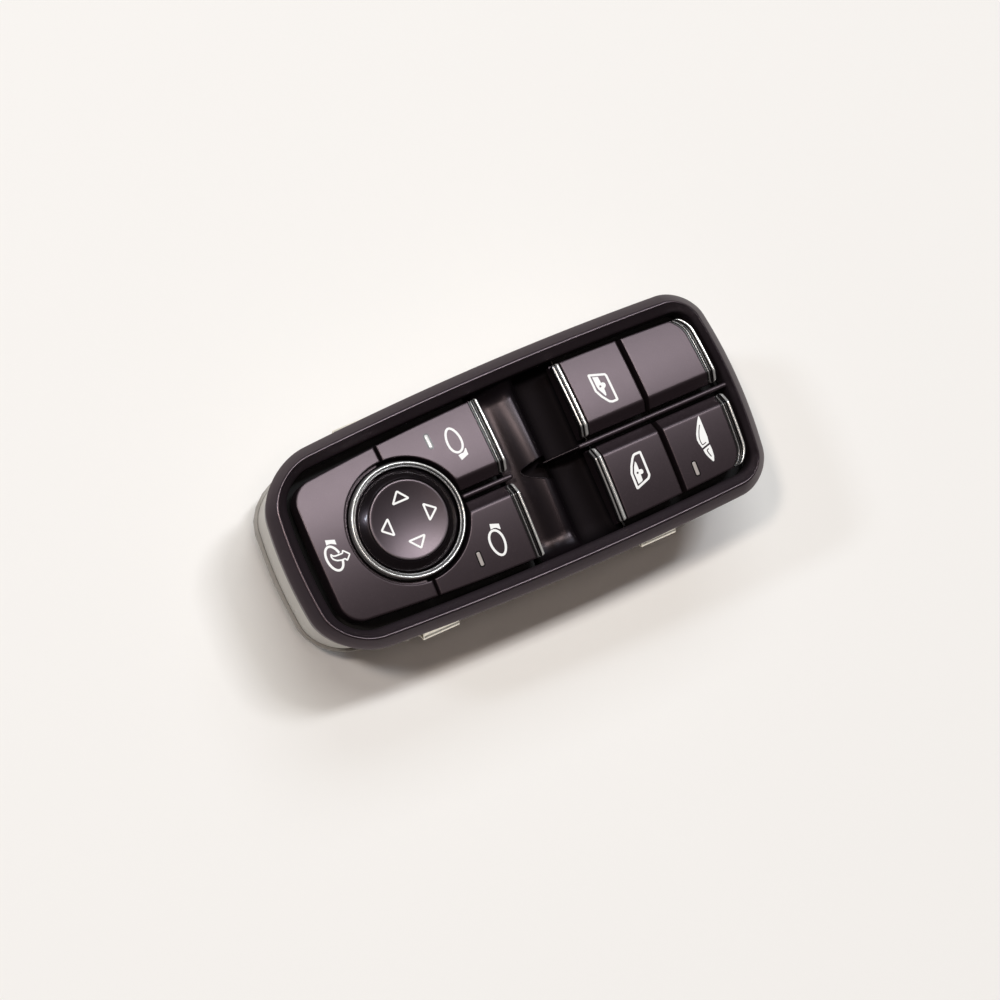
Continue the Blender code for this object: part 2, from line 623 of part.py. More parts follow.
def build_housing():
    """Build the housing shell with its deck, pivot cheeks, joystick brackets and screw columns."""
    foot = HOUSING_INSET + HOUSING_DRAFT
    outer = [ring_at([foot] * 3, HOUSING_BOTTOM_Z), ring_at([HOUSING_INSET] * 3, DECK_UNDER_Z),
             ring_at([HOUSING_INSET] * 3, HOUSING_TOP_Z)]
    inner = [ring_at([HOUSING_INSET + HOUSING_WALL] * 3, HOUSING_TOP_Z),
             ring_at([HOUSING_INSET + HOUSING_WALL] * 3, DECK_UNDER_Z),
             ring_at([foot + HOUSING_WALL] * 3, HOUSING_BOTTOM_Z)]
    housing = loft("switch_housing", outer + inner, cyclic=True)
    deck = prism("deck", bezel_outline(HOUSING_INSET + HOUSING_WALL / 2), DECK_UNDER_Z, DECK_Z)
    well_gap = block("well_gap", (WELL_X - 0.0008, WELL_WALL_X + WELL_WALL + 0.0008),
                     (-HALF_WIDTH, HALF_WIDTH), THROUGH_DECK)
    hole = rod("hole", "Z", (JOY_X, 0.0, 0.0), GIMBAL_RADIUS + 0.0012, *THROUGH_DECK, 20)
    cuts = [well_gap, hole] + rocker_windows() + guide_windows()
    combine(deck, cuts, "DIFFERENCE")
    fittings = pivot_cheeks() + gimbal_brackets() + screw_columns() + clip_sockets()
    combine(housing, [deck] + fittings, "UNION")
    holes = []
    for x, y in COLUMNS:
        holes.append(rod("pilot", "Z", (x, y, 0.0), PILOT_RADIUS, BOARD_TOP_Z, DECK_UNDER_Z - 0.002, 8))
    for x in (FRONT_PIVOT_X, REAR_PIVOT_X):
        reach = ROW_Y + CHEEK_SPACING
        holes.append(rod("bore", "Y", (x, 0.0, PIVOT_Z), PIVOT_RADIUS + PIVOT_PLAY, -reach, reach))
    holes.append(rod("bore", "X", (0.0, 0.0, JOY_PIVOT_Z), GIMBAL_PIN + PIVOT_PLAY,
                     JOY_X - GIMBAL_RADIUS - 0.0050, JOY_X + GIMBAL_RADIUS + 0.0050))
    combine(housing, holes, "DIFFERENCE")
    return finish(housing, "switch_housing", "housing_plastic", True)


def rocker_windows():
    """Return the cutters for the deck windows that the rocker feet pass through."""
    cutters = []
    swing = (PIVOT_Z - DECK_UNDER_Z) * math.sin(ROCKER_SWING)
    reach = FOOT_SPREAD + FOOT_LENGTH / 2 + swing + 2 * SEAT
    half = FOOT_WIDTH / 2 + 2 * SEAT
    for x in (FRONT_PIVOT_X, REAR_PIVOT_X):
        for side in (1, -1):
            y_range = (side * ROW_Y - half, side * ROW_Y + half)
            cutters.append(block("window", (x - reach, x + reach), y_range, THROUGH_DECK))
    return cutters


def guide_windows():
    """Return the cutters for the deck windows that guide the push keys."""
    cutters = []
    deep = LEG_DEPTH / 2 + SLIDE_PLAY
    for x, y, size in [leg for legs in PUSH_LEGS.values() for leg in legs]:
        half = size / 2 + SLIDE_PLAY
        cutters.append(block("guide", (x - half, x + half), (y - deep, y + deep), THROUGH_DECK))
    return cutters


def pivot_cheeks():
    """Return the upright cheeks that carry the rocker pivots, with rounded heads."""
    cheeks = []
    head = PIVOT_RADIUS + 0.0005
    for x in (FRONT_PIVOT_X, REAR_PIVOT_X):
        section = [(x - CHEEK_LENGTH / 2, DECK_Z - 0.0004), (x + CHEEK_LENGTH / 2, DECK_Z - 0.0004)]
        section += [(x + head * math.cos(a), PIVOT_Z + head * math.sin(a))
                    for a in [math.pi * i / 4 for i in range(5)]]
        for side in (1, -1):
            for centre in (ROW_Y - CHEEK_SPACING / 2, ROW_Y + CHEEK_SPACING / 2):
                low = side * centre - CHEEK_WALL / 2
                cheeks.append(bar_along_y("cheek", section, low, low + CHEEK_WALL))
    return cheeks


def gimbal_brackets():
    """Return the two brackets under the deck that carry the joystick's gimbal."""
    brackets = []
    half = GIMBAL_PIN + 0.0016
    section = [(half + 0.0008, DECK_UNDER_Z + 0.0004), (-half - 0.0008, DECK_UNDER_Z + 0.0004)]
    section += [(half * math.cos(a), JOY_PIVOT_Z + half * math.sin(a))
                for a in [math.pi + math.pi * i / 4 for i in range(5)]]
    for side in (1, -1):
        near = JOY_X + side * (GIMBAL_RADIUS + 0.0009)
        x_range = sorted((near, near + side * 0.0018))
        brackets.append(bar_along_x("bracket", section, *x_range))
    return brackets


def screw_columns():
    """Return the columns that the cover screws bite into."""
    top = DECK_UNDER_Z + 0.0004
    return [rod("column", "Z", (x, y, 0.0), COLUMN_RADIUS, BOARD_TOP_Z + SEAT, top, 8)
            for x, y in COLUMNS]


def clip_frame(side, x):
    """Return the outer wall position behind a clip and the clip's crest."""
    bend = (x - WIDEST_X) ** 2 / (2 * SIDE_BOW_RADIUS)
    wall = bezel_half_width(x) - HOUSING_INSET * (1 - bend / HALF_WIDTH)
    return wall * side, (bezel_half_width(x) + CLIP_PROUD) * side


def clip_sockets():
    """Return the moulded sockets that hold the feet of the retaining clips."""
    sockets = []
    for x in (CLIP_LEFT_X, CLIP_RIGHT_X):
        for side in (1, -1):
            wall, _ = clip_frame(side, x)
            foot_z = HOUSING_BOTTOM_Z + SOCKET_WALL
            room = CLIP_SHEET + 2 * SEAT
            near = SOCKET_WALL / 2
            half = CLIP_WIDTH / 2 + SEAT + SOCKET_WALL
            y_range = sorted((wall - side * 0.0014, wall + side * (near + room + 0.0007)))
            z_range = (foot_z, foot_z + CLIP_FOOT_HEIGHT)
            shell = block("socket", (x - half, x + half), y_range, z_range)
            slot_y = sorted((wall + side * near, wall + side * (near + room)))
            slot = block("slot", (x - half + SOCKET_WALL, x + half - SOCKET_WALL), slot_y,
                         (foot_z + 0.0008, z_range[1] + 0.001))
            sockets.append(combine(shell, [slot], "DIFFERENCE"))
    return sockets


def build_clip(name, x, side):
    """Build a sheet spring clip that bulges past the bezel's edge."""
    wall, crest = clip_frame(side, x)
    foot_z = HOUSING_BOTTOM_Z + SOCKET_WALL + 0.0008 + SEAT
    base = wall + side * (SOCKET_WALL / 2 + SEAT + CLIP_SHEET / 2)
    top_z = SKIRT_Z - 0.0022
    edge = crest - side * CLIP_SHEET / 2
    bend_z = top_z - 0.0052
    path = [(base, foot_z), (base, foot_z + CLIP_FOOT_HEIGHT - 0.0004),
            (base + side * 0.0008, foot_z + 0.0052), (edge - side * 0.0007, bend_z - 0.0016),
            (edge, bend_z), (edge - side * 0.0007, bend_z + 0.0012),
            (base + side * 0.0008, top_z - 0.0012), (base + side * 0.0002, top_z)]
    outer = []
    inner = []
    for i, (y, z) in enumerate(path):
        before = path[max(i - 1, 0)]
        after = path[min(i + 1, len(path) - 1)]
        along = Vector((after[0] - before[0], after[1] - before[1])).normalized()
        normal = Vector((-along.y, along.x)) * CLIP_SHEET / 2
        outer.append((y + normal.x, z + normal.y))
        inner.append((y - normal.x, z - normal.y))
    clip = bar_along_x("clip", outer + inner[::-1], x - CLIP_WIDTH / 2, x + CLIP_WIDTH / 2)
    return finish(clip, name, "spring_steel")


# Rear cover, connector and electronics

def tub_outline(inset):
    """Return the rounded plan outline of the rear cover's tub."""
    half_x = TUB_LENGTH / 2 - inset
    half_y = TUB_WIDTH / 2 - inset
    radius = max(TUB_CORNER - inset, 0.0008)
    points = []
    for sx, sy, start in ((1, 1, 0.0), (-1, 1, 0.5), (-1, -1, 1.0), (1, -1, 1.5)):
        centre = (TUB_X + sx * (half_x - radius), sy * (half_y - radius))
        points += corner(centre, radius, start * math.pi, 4)
    return points


def tub_ring(inset, z):
    """Return the tub's outline as a ring at a height."""
    return [(x, y, z) for x, y in tub_outline(inset)]


def build_cover():
    """Build the rear cover: flange, locating lip, deep tub and screw bosses."""
    foot = HOUSING_INSET + HOUSING_DRAFT
    cover = prism("rear_cover", bezel_outline(foot - COVER_PROUD), FLANGE_Z - COVER_THICKNESS, FLANGE_Z)
    lip_in = foot + HOUSING_WALL + SEAT
    lip = loft("lip", [ring_at([lip_in] * 3, FLANGE_Z - 0.0004), ring_at([lip_in] * 3, BOARD_Z - 0.0006),
                       ring_at([lip_in + COVER_LIP] * 3, BOARD_Z - 0.0006),
                       ring_at([lip_in + COVER_LIP] * 3, FLANGE_Z - 0.0004)], cyclic=True)
    tub = loft("tub", [tub_ring(TUB_DRAFT + 0.0008, GROUND_Z), tub_ring(TUB_DRAFT, GROUND_Z + 0.0008),
                       tub_ring(0.0, FLANGE_Z - 0.0004)])
    bosses = []
    for x, y in COLUMNS:
        bosses.append(rod("boss", "Z", (x, y, 0.0), COLUMN_RADIUS, FLANGE_Z - 0.0004, BOARD_Z - SEAT, 8))
    combine(cover, [tub, lip] + bosses, "UNION")
    hollow = loft("hollow", [tub_ring(TUB_DRAFT + TUB_WALL, GROUND_Z + TUB_WALL),
                             tub_ring(TUB_WALL, FLANGE_Z + 0.001)])
    gap = SEAT
    low, high = plug_range()
    mouth = block("mouth", (TUB_HIGH_X - TUB_WALL - 0.003, TUB_HIGH_X + 0.003),
                  (-PLUG_WIDTH / 2 - gap, PLUG_WIDTH / 2 + gap), (low - gap, high + gap))
    holes = []
    for x, y in COLUMNS:
        holes.append(rod("hole", "Z", (x, y, 0.0), PILOT_RADIUS + 0.0004, GROUND_Z, BOARD_Z, 8))
    combine(cover, [hollow, mouth] + holes + cover_pads(), "DIFFERENCE")
    return finish(cover, "rear_cover", "housing_plastic", True)


def cover_pads():
    """Return the shallow counterbores under the cover's screw heads."""
    top = FLANGE_Z - COVER_THICKNESS * 0.7
    return [rod("pad", "Z", (x, y, 0.0), COLUMN_RADIUS, GROUND_Z, top, 8) for x, y in COLUMNS]


def plug_range():
    """Return the lowest and highest level of the connector's nose."""
    low = GROUND_Z + TUB_WALL + SEAT + 0.0003
    return low, low + PLUG_HEIGHT


def build_connector():
    """Build the connector header with its open socket and pin holes."""
    low, high = plug_range()
    back_x = NOSE_X - PLUG_DEPTH
    step_x = TUB_HIGH_X - TUB_WALL - 0.0008
    half = PLUG_WIDTH / 2
    section = [(back_x, low), (NOSE_X, low), (NOSE_X, high), (step_x, high), (step_x, BOARD_Z - SEAT),
               (back_x, BOARD_Z - SEAT)]
    header = bar_along_y("connector_header", section, -half, half)
    socket = block("socket", (back_x + 0.0026, NOSE_X + 0.001),
                   (-half + PLUG_WALL, half - PLUG_WALL), (low + PLUG_WALL, high - PLUG_WALL))
    keyway = block("keyway", (NOSE_X - 0.0060, NOSE_X + 0.001), (-0.0020, 0.0020),
                   (high - PLUG_WALL - 0.0001, high - PLUG_WALL + 0.0006))
    holes = []
    for y, z in pin_places():
        reach = PIN_SIZE / 2 + 0.0001
        holes.append(block("pin_hole", (back_x - 0.001, back_x + 0.0036), (y - reach, y + reach),
                           (z - reach, z + reach)))
    combine(header, [socket, keyway] + holes, "DIFFERENCE")
    return finish(header, "connector_header", "connector_plastic")


def pin_places():
    """Return the (y, z) places of the connector pins, lower row first."""
    low, high = plug_range()
    middle = (low + high) / 2
    places = []
    for z in (middle - PIN_ROW_PITCH / 2, middle + PIN_ROW_PITCH / 2):
        for i in range(PIN_COUNT):
            places.append(((i - (PIN_COUNT - 1) / 2) * PIN_PITCH, z))
    return places


def build_pins():
    """Build the bent connector pins that rise to the board."""
    back_x = NOSE_X - PLUG_DEPTH
    half = PIN_SIZE / 2
    for i, (y, z) in enumerate(pin_places()):
        rise_x = back_x - (0.0030 if i < PIN_COUNT else 0.0013)
        tip_x = NOSE_X - 0.0053
        top = BOARD_Z - SEAT
        section = [(rise_x - half, z - half), (tip_x - 0.0006, z - half), (tip_x, z - half * 0.4),
                   (tip_x, z + half * 0.4), (tip_x - 0.0006, z + half), (rise_x + half, z + half),
                   (rise_x + half, top), (rise_x - half, top)]
        pin = bar_along_y("pin", section, y - half, y + half)
        finish(pin, f"connector_pin_{i + 1:02d}", "pin_metal")


def build_board():
    """Build the circuit board with its screw holes, the chip below it and the indicator lamps."""
    inset = HOUSING_INSET + HOUSING_DRAFT + HOUSING_WALL + 0.0006
    board = prism("circuit_board", bezel_outline(inset), BOARD_Z, BOARD_TOP_Z)
    holes = [rod("hole", "Z", (x, y, 0.0), PILOT_RADIUS + 0.0006, BOARD_Z - 0.001, BOARD_TOP_Z + 0.001, 8)
             for x, y in COLUMNS]
    combine(board, holes, "DIFFERENCE")
    finish(board, "circuit_board", "board_laminate")
    finish(prism("chip", chip_outline(), BOARD_Z - SEAT - CHIP_THICKNESS, BOARD_Z - SEAT),
           "controller_chip", "chip_resin")
    for name, (x, y) in INDICATORS.items():
        half = LED_SIZE / 2
        lamp = loft("lamp", [square_ring(x, y, half, BOARD_TOP_Z + SEAT),
                             square_ring(x, y, half, BOARD_TOP_Z + 0.0014),
                             square_ring(x, y, half * 0.62, BOARD_TOP_Z + 0.0022)])
        finish(lamp, f"{name}_lamp", "lens_plastic")


def chip_outline():
    """Return the square plan outline of the controller chip with its cut corners."""
    half = CHIP_SIZE / 2
    short = half - CHIP_CORNER
    points = []
    for sx, sy in ((1, 1), (-1, 1), (-1, -1), (1, -1)):
        ends = [(CHIP_X + sx * half, sy * short), (CHIP_X + sx * short, sy * half)]
        points += ends if sx * sy > 0 else ends[::-1]
    return points


def square_ring(x, y, half, z):
    """Return a square ring round a point."""
    return [(x - half, y - half, z), (x + half, y - half, z), (x + half, y + half, z),
            (x - half, y + half, z)]


def build_mat():
    """Build the switching mat: a rubber sheet with a dome under each plunger."""
    inset = HOUSING_INSET + HOUSING_DRAFT + HOUSING_WALL + 0.0041
    mat = prism("dome_mat", bezel_outline(inset), MAT_Z, MAT_Z + MAT_THICKNESS)
    domes = []
    for x, y in DOME_PLACES:
        rings = [[(px, py, z) for px, py in circle((x, y), radius, 8)]
                 for radius, z in ((DOME_RADIUS, MAT_Z + MAT_THICKNESS - 0.0003),
                                   (DOME_RADIUS * 0.56, DOME_TOP_Z))]
        domes.append(loft("dome", rings))
    combine(mat, domes, "UNION")
    cut_z = (MAT_Z - 0.001, DOME_TOP_Z)
    holes = [rod("hole", "Z", (x, y, 0.0), COLUMN_RADIUS + SEAT, *cut_z, 8) for x, y in COLUMNS]
    for x, y in INDICATORS.values():
        half = LED_SIZE / 2 + SEAT
        holes.append(block("window", (x - half, x + half), (y - half, y + half), cut_z))
    combine(mat, holes, "DIFFERENCE")
    return finish(mat, "dome_mat", "mat_rubber")


# Keys

def crown_tool(valley, drop=0.0):
    """Return the space above the crowned key faces, with or without the middle valley."""
    reach = HALF_WIDTH
    ys = [reach * i / 5 for i in range(5, 0, -1)]
    ys = [y for y in ys if y > CHAMFER_Y + 0.001]
    middle = [(CHAMFER_Y, face_z(CHAMFER_Y)), (KEY_FOOT_Y, face_z(CHAMFER_Y) - CHAMFER_DROP)]
    if not valley:
        middle = [(CHAMFER_Y, face_z(CHAMFER_Y))]
    half = [(y, face_z(y)) for y in ys] + middle
    section = half + [(-y, z) for y, z in reversed(half)]
    section = [(y, z - drop) for y, z in section]
    top = FACE_Z + 0.010
    section += [(-reach, top), (reach, top)]
    return bar_along_x("crown", section, -HALF_LENGTH - 0.01, HALF_LENGTH + 0.01)


def inset_outline(outline, distance):
    """Move a counter-clockwise plan outline inwards by mitred corners."""
    moved = []
    count = len(outline)
    for i in range(count):
        before = Vector(outline[i - 1])
        here = Vector(outline[i])
        after = Vector(outline[(i + 1) % count])
        first = (here - before).normalized()
        second = (after - here).normalized()
        normal_a = Vector((-first.y, first.x))
        normal_b = Vector((-second.y, second.x))
        mitre = (normal_a + normal_b) / max(1.0 + normal_a.dot(normal_b), 0.35)
        moved.append(tuple(here + mitre * distance))
    return moved


def key_shell(name, outline, inner_outline, valley, tools=()):
    """Build a key cap: crowned top, thin walls and an open underside."""
    base_z = FACE_Z - KEY_HEIGHT
    cap = prism(name, outline, base_z, FACE_Z + 0.002)
    combine(cap, [crown_tool(valley)] + list(tools), "DIFFERENCE")
    hollow = prism("hollow", inset_outline(inner_outline, KEY_WALL), base_z - 0.002, FACE_Z + 0.001)
    combine(hollow, [crown_tool(valley, KEY_ROOF)], "DIFFERENCE")
    return combine(cap, [hollow], "DIFFERENCE")


def trim_profile(bead_inside):
    """Return the trim's section as (inwards, up) pairs; the bead sits at the lip or by the face."""
    if bead_inside:
        near = TRIM_WIDTH - TRIM_BEAD
        return [(0.0006, -TRIM_DEPTH), (0.0, -TRIM_DEPTH * 0.72), (0.0001, -TRIM_DEPTH * 0.50),
                (near * 0.72, -0.0003), (near + 0.0002, TRIM_PROUD), (TRIM_WIDTH - 0.0004, TRIM_PROUD),
                (TRIM_WIDTH, -0.0003), (TRIM_WIDTH, -0.0014), (0.0014, -0.0014), (0.0013, -TRIM_DEPTH)]
    return [(0.0003, -TRIM_DEPTH), (0.0, -TRIM_DEPTH * 0.55), (0.0001, -0.0004), (0.0004, TRIM_PROUD),
            (TRIM_BEAD - 0.0004, TRIM_PROUD), (TRIM_BEAD, -0.0003), (TRIM_BEAD + 0.0002, -0.0009),
            (TRIM_WIDTH, -0.0010), (TRIM_WIDTH, -0.0016), (0.0013, -0.0016), (0.0012, -TRIM_DEPTH)]


def seat_profile(grip):
    """Return the section cut from a key's end for the trim, with the finger grip below it."""
    deep = KEY_HEIGHT + 0.002
    curl = 0.0009 if grip else 0.0004
    return [(-0.004, 0.004), (TRIM_WIDTH + SEAT, 0.004), (TRIM_WIDTH + SEAT, -0.0016 - SEAT),
            (0.0014 + SEAT, -0.0016 - SEAT), (0.0014 + SEAT, -TRIM_DEPTH - SEAT),
            (0.0005, -TRIM_DEPTH - SEAT), (curl, -TRIM_DEPTH - 0.0016), (curl, -TRIM_DEPTH - 0.0028),
            (0.0003, -deep), (-0.004, -deep)]


def end_sections(profile, stations, direction, lip_x):
    """Place a section at stations across the switch; direction is +1 where inwards means +X."""
    rings = []
    for y, drop in stations:
        rings.append([(lip_x(y) + direction * u, y, face_z(y) - drop + w) for u, w in profile])
    return rings


def row_stations(side, outer, curved, extra=0.0):
    """Return the stations of a trim from the chamfer foot to its outer end."""
    shares = (0.35, 0.62, 0.80, 0.92, 1.0) if curved else (0.5, 1.0)
    steps = [KEY_FOOT_Y - extra, CHAMFER_Y]
    steps += [CHAMFER_Y + (outer - CHAMFER_Y) * share for share in shares]
    stations = []
    for y in steps:
        drop = CHAMFER_DROP * max(CHAMFER_Y - y, 0.0) / (CHAMFER_Y - KEY_FOOT_Y)
        stations.append((side * y, drop))
    return stations


def seat_tool(side, direction, lip_x, grip, curved=False):
    """Return the cutter that shapes a key's end under its trim."""
    outer = key_edge(REAR_LIP) + 0.0010 if curved else HALF_WIDTH
    rings = end_sections(seat_profile(grip), row_stations(side, outer, curved, 0.0014), direction, lip_x)
    return loft("seat", rings)


def build_trim(name, side, direction, lip_x, outer, bead_inside, curved=False):
    """Build a chrome trim along a key's end."""
    rings = end_sections(trim_profile(bead_inside), row_stations(side, outer, curved), direction, lip_x)
    return finish(loft("trim", rings), name, "chrome", True)


def side_outline(points, side):
    """Mirror a plan outline of the +Y row to the other row, keeping its winding."""
    if side > 0:
        return points
    return [(x, -y) for x, y in reversed(points)]


def lens_slot(name):
    """Return the cutter for an indicator lens in a key's roof."""
    x, y = INDICATORS[name]
    half_x = LENS_WIDTH / 2 + 0.0001
    half_y = LENS_LENGTH / 2 + 0.0001
    return block("slot", (x - half_x, x + half_x), (y - half_y, y + half_y), (DECK_Z, FACE_Z + 0.002))


def build_lens(name):
    """Build an indicator lens, flush with the crowned face."""
    x, y = INDICATORS[name]
    lens = block(f"{name}_lens", (x - LENS_WIDTH / 2, x + LENS_WIDTH / 2),
                 (y - LENS_LENGTH / 2, y + LENS_LENGTH / 2), (LENS_FOOT_Z, FACE_Z + 0.002))
    combine(lens, [crown_tool(True, -0.00005)], "DIFFERENCE")
    return finish(lens, f"{name}_lens", "lens_plastic")


def window_outline(rear, back=0.0):
    """Return a window key's plan outline, with its lip end moved back if asked."""
    if not rear:
        lip = WELL_END + back
        return [(lip, KEY_FOOT_Y), (FRONT_TAIL, KEY_FOOT_Y), (FRONT_TAIL, key_edge(FRONT_TAIL)),
                (lip, key_edge(lip))]
    points = [(REAR_TAIL, KEY_FOOT_Y)]
    for share in (0.0, 0.45, 0.74, 0.88, 0.96):
        y = max(key_edge(REAR_LIP) * share, KEY_FOOT_Y)
        points.append((rear_lip_x(y) - back, y))
    top = key_edge(REAR_LIP - 0.004)
    return points + [(rear_lip_x(top) - back, top), (REAR_TAIL, key_edge(REAR_TAIL))]


def front_lip_x(_):
    """Return the straight lip end of the front window keys."""
    return WELL_END


def select_lip_x(_):
    """Return the straight lip end of the mirror side keys."""
    return WELL_X


def build_window_key(name, side, rear, lens=None):
    """Build a window rocker's cap and trim."""
    lip_x = rear_lip_x if rear else front_lip_x
    direction = -1 if rear else 1
    outline = side_outline(window_outline(rear), side)
    inner = side_outline(window_outline(rear, TRIM_WIDTH + SEAT), side)
    tool = seat_tool(side, direction, lip_x, not rear, rear)
    cap = key_shell(name, outline, inner, True, [tool])
    if lens:
        combine(cap, [lens_slot(lens)], "DIFFERENCE")
        build_lens(lens)
    finish(cap, f"{name}_key", "key_plastic")
    outer = key_edge(REAR_LIP - 0.003) if rear else key_edge(WELL_END) + SEAT
    build_trim(f"{name}_trim", side, direction, lip_x, outer, not rear, rear)


def build_rocker(name, x, side, reach):
    """Build a rocker's carrier: plate, pivot barrel with trunnions and two plunger feet."""
    y = side * ROW_Y
    half = CHEEK_SPACING / 2 - CHEEK_WALL / 2 - SEAT
    top = face_z(ROW_Y + half) - KEY_ROOF - SEAT
    under = top - PLATE_THICKNESS
    foot_out = FOOT_SPREAD + FOOT_LENGTH / 2
    foot_in = FOOT_SPREAD - FOOT_LENGTH / 2
    foot_z = DOME_TOP_Z + FOOT_PLAY
    right = [(foot_in, PIVOT_Z - 0.0030), (foot_in + 0.0003, foot_z), (foot_out - 0.0003, foot_z),
             (foot_out, DECK_Z), (foot_out, under + 0.0004)]
    section = [(x - u, z) for u, z in reversed(right)] + [(x + u, z) for u, z in right]
    lever = bar_along_y("lever", section, y - FOOT_WIDTH / 2, y + FOOT_WIDTH / 2)
    ends = sorted((x + reach, x - math.copysign(PIVOT_FROM_TAIL - KEY_WALL - SEAT, reach)))
    plate = block("plate", ends, (y - half, y + half), (under, top))
    barrel = rod("barrel", "Y", (x, 0.0, PIVOT_Z), PIVOT_RADIUS + BARREL_WALL, y - half, y + half)
    pin_reach = CHEEK_SPACING / 2 + CHEEK_WALL / 2
    pin = rod("pin", "Y", (x, 0.0, PIVOT_Z), PIVOT_RADIUS, y - pin_reach, y + pin_reach)
    combine(lever, [plate, barrel, pin], "UNION")
    return finish(lever, f"{name}_carrier", "carrier_plastic")


def select_outline(back=0.0):
    """Return a mirror side key's plan outline, which wraps round the joystick."""
    radius = JOY_KEY_RADIUS
    start = math.acos((KEY_SEAM / 4) / radius)
    stop = math.asin(KEY_FOOT_Y / radius)
    angles = [start + (stop - start) * i / 10 for i in range(11)]
    arc = [(JOY_X + radius * math.cos(a), radius * math.sin(a)) for a in angles]
    lip = WELL_X - back
    seam = JOY_X + KEY_SEAM / 4
    edge = [(lip + (seam - lip) * i / 3, key_edge(lip + (seam - lip) * i / 3)) for i in range(4)]
    return arc + [(lip, KEY_FOOT_Y)] + edge


def build_select_key(name, side):
    """Build a mirror side key's cap, trim and lens."""
    tool = seat_tool(side, -1, select_lip_x, False)
    outline = side_outline(select_outline(), side)
    inner = side_outline(select_outline(TRIM_WIDTH + SEAT), side)
    cap = key_shell(name, outline, inner, True, [tool])
    combine(cap, [lens_slot(name)], "DIFFERENCE")
    finish(cap, f"{name}_key", "key_plastic")
    build_trim(f"{name}_trim", side, -1, select_lip_x, key_edge(WELL_X) + SEAT, False)
    build_lens(name)


def fold_outline():
    """Return the C-shaped plan outline of the mirror fold key."""
    seam = JOY_X - KEY_SEAM / 4
    low = JOY_X - FOLD_KEY_LENGTH
    radius = FOLD_KEY_CORNER
    top = key_edge(low + radius)
    middle = (seam + low) / 2
    upper = [(seam, key_edge(seam)), (middle, key_edge(middle))]
    arc = corner((low + radius, top - radius), radius, math.pi / 2, 5)
    sag = [(x + (y**2) / (2 * END_BOW_RADIUS) - 0.0003, y) for x, y in arc]
    left = upper + sag + [(low - 0.0003, 0.0)]
    outline = left + [(x, -y) for x, y in reversed(left[:-1])]
    start = math.acos((KEY_SEAM / 4) / JOY_KEY_RADIUS)
    first = math.pi + start
    ring = [(JOY_X + JOY_KEY_RADIUS * math.cos(a), JOY_KEY_RADIUS * math.sin(a))
            for a in [first - 2 * start * i / 20 for i in range(21)]]
    return outline + ring


def build_fold_key():
    """Build the mirror fold key's cap."""
    cap = key_shell("mirror_fold", fold_outline(), fold_outline(), False)
    return finish(cap, "mirror_fold_key", "key_plastic")


def build_push_carrier(name, centre, half_x, half_y):
    """Build a push key's carrier: plate, two guide legs and the plunger between them."""
    x, y = centre
    top = face_z(abs(y) + half_y) - KEY_ROOF - SEAT
    under = top - PLATE_THICKNESS
    carrier = block("plate", (x - half_x, x + half_x), (y - half_y, y + half_y), (under, top))
    legs = []
    feet = (DECK_UNDER_Z - GUIDE_REACH, DOME_TOP_Z + PUSH_TRAVEL + SEAT, DECK_UNDER_Z - GUIDE_REACH)
    for (leg_x, leg_y, size), foot in zip(PUSH_LEGS[name], feet):
        leg = block("leg", (leg_x - size / 2, leg_x + size / 2),
                    (leg_y - LEG_DEPTH / 2, leg_y + LEG_DEPTH / 2), (foot, under + 0.0004))
        legs.append(leg)
    combine(carrier, legs, "UNION")
    return finish(carrier, f"{name}_carrier", "carrier_plastic")


# Joystick

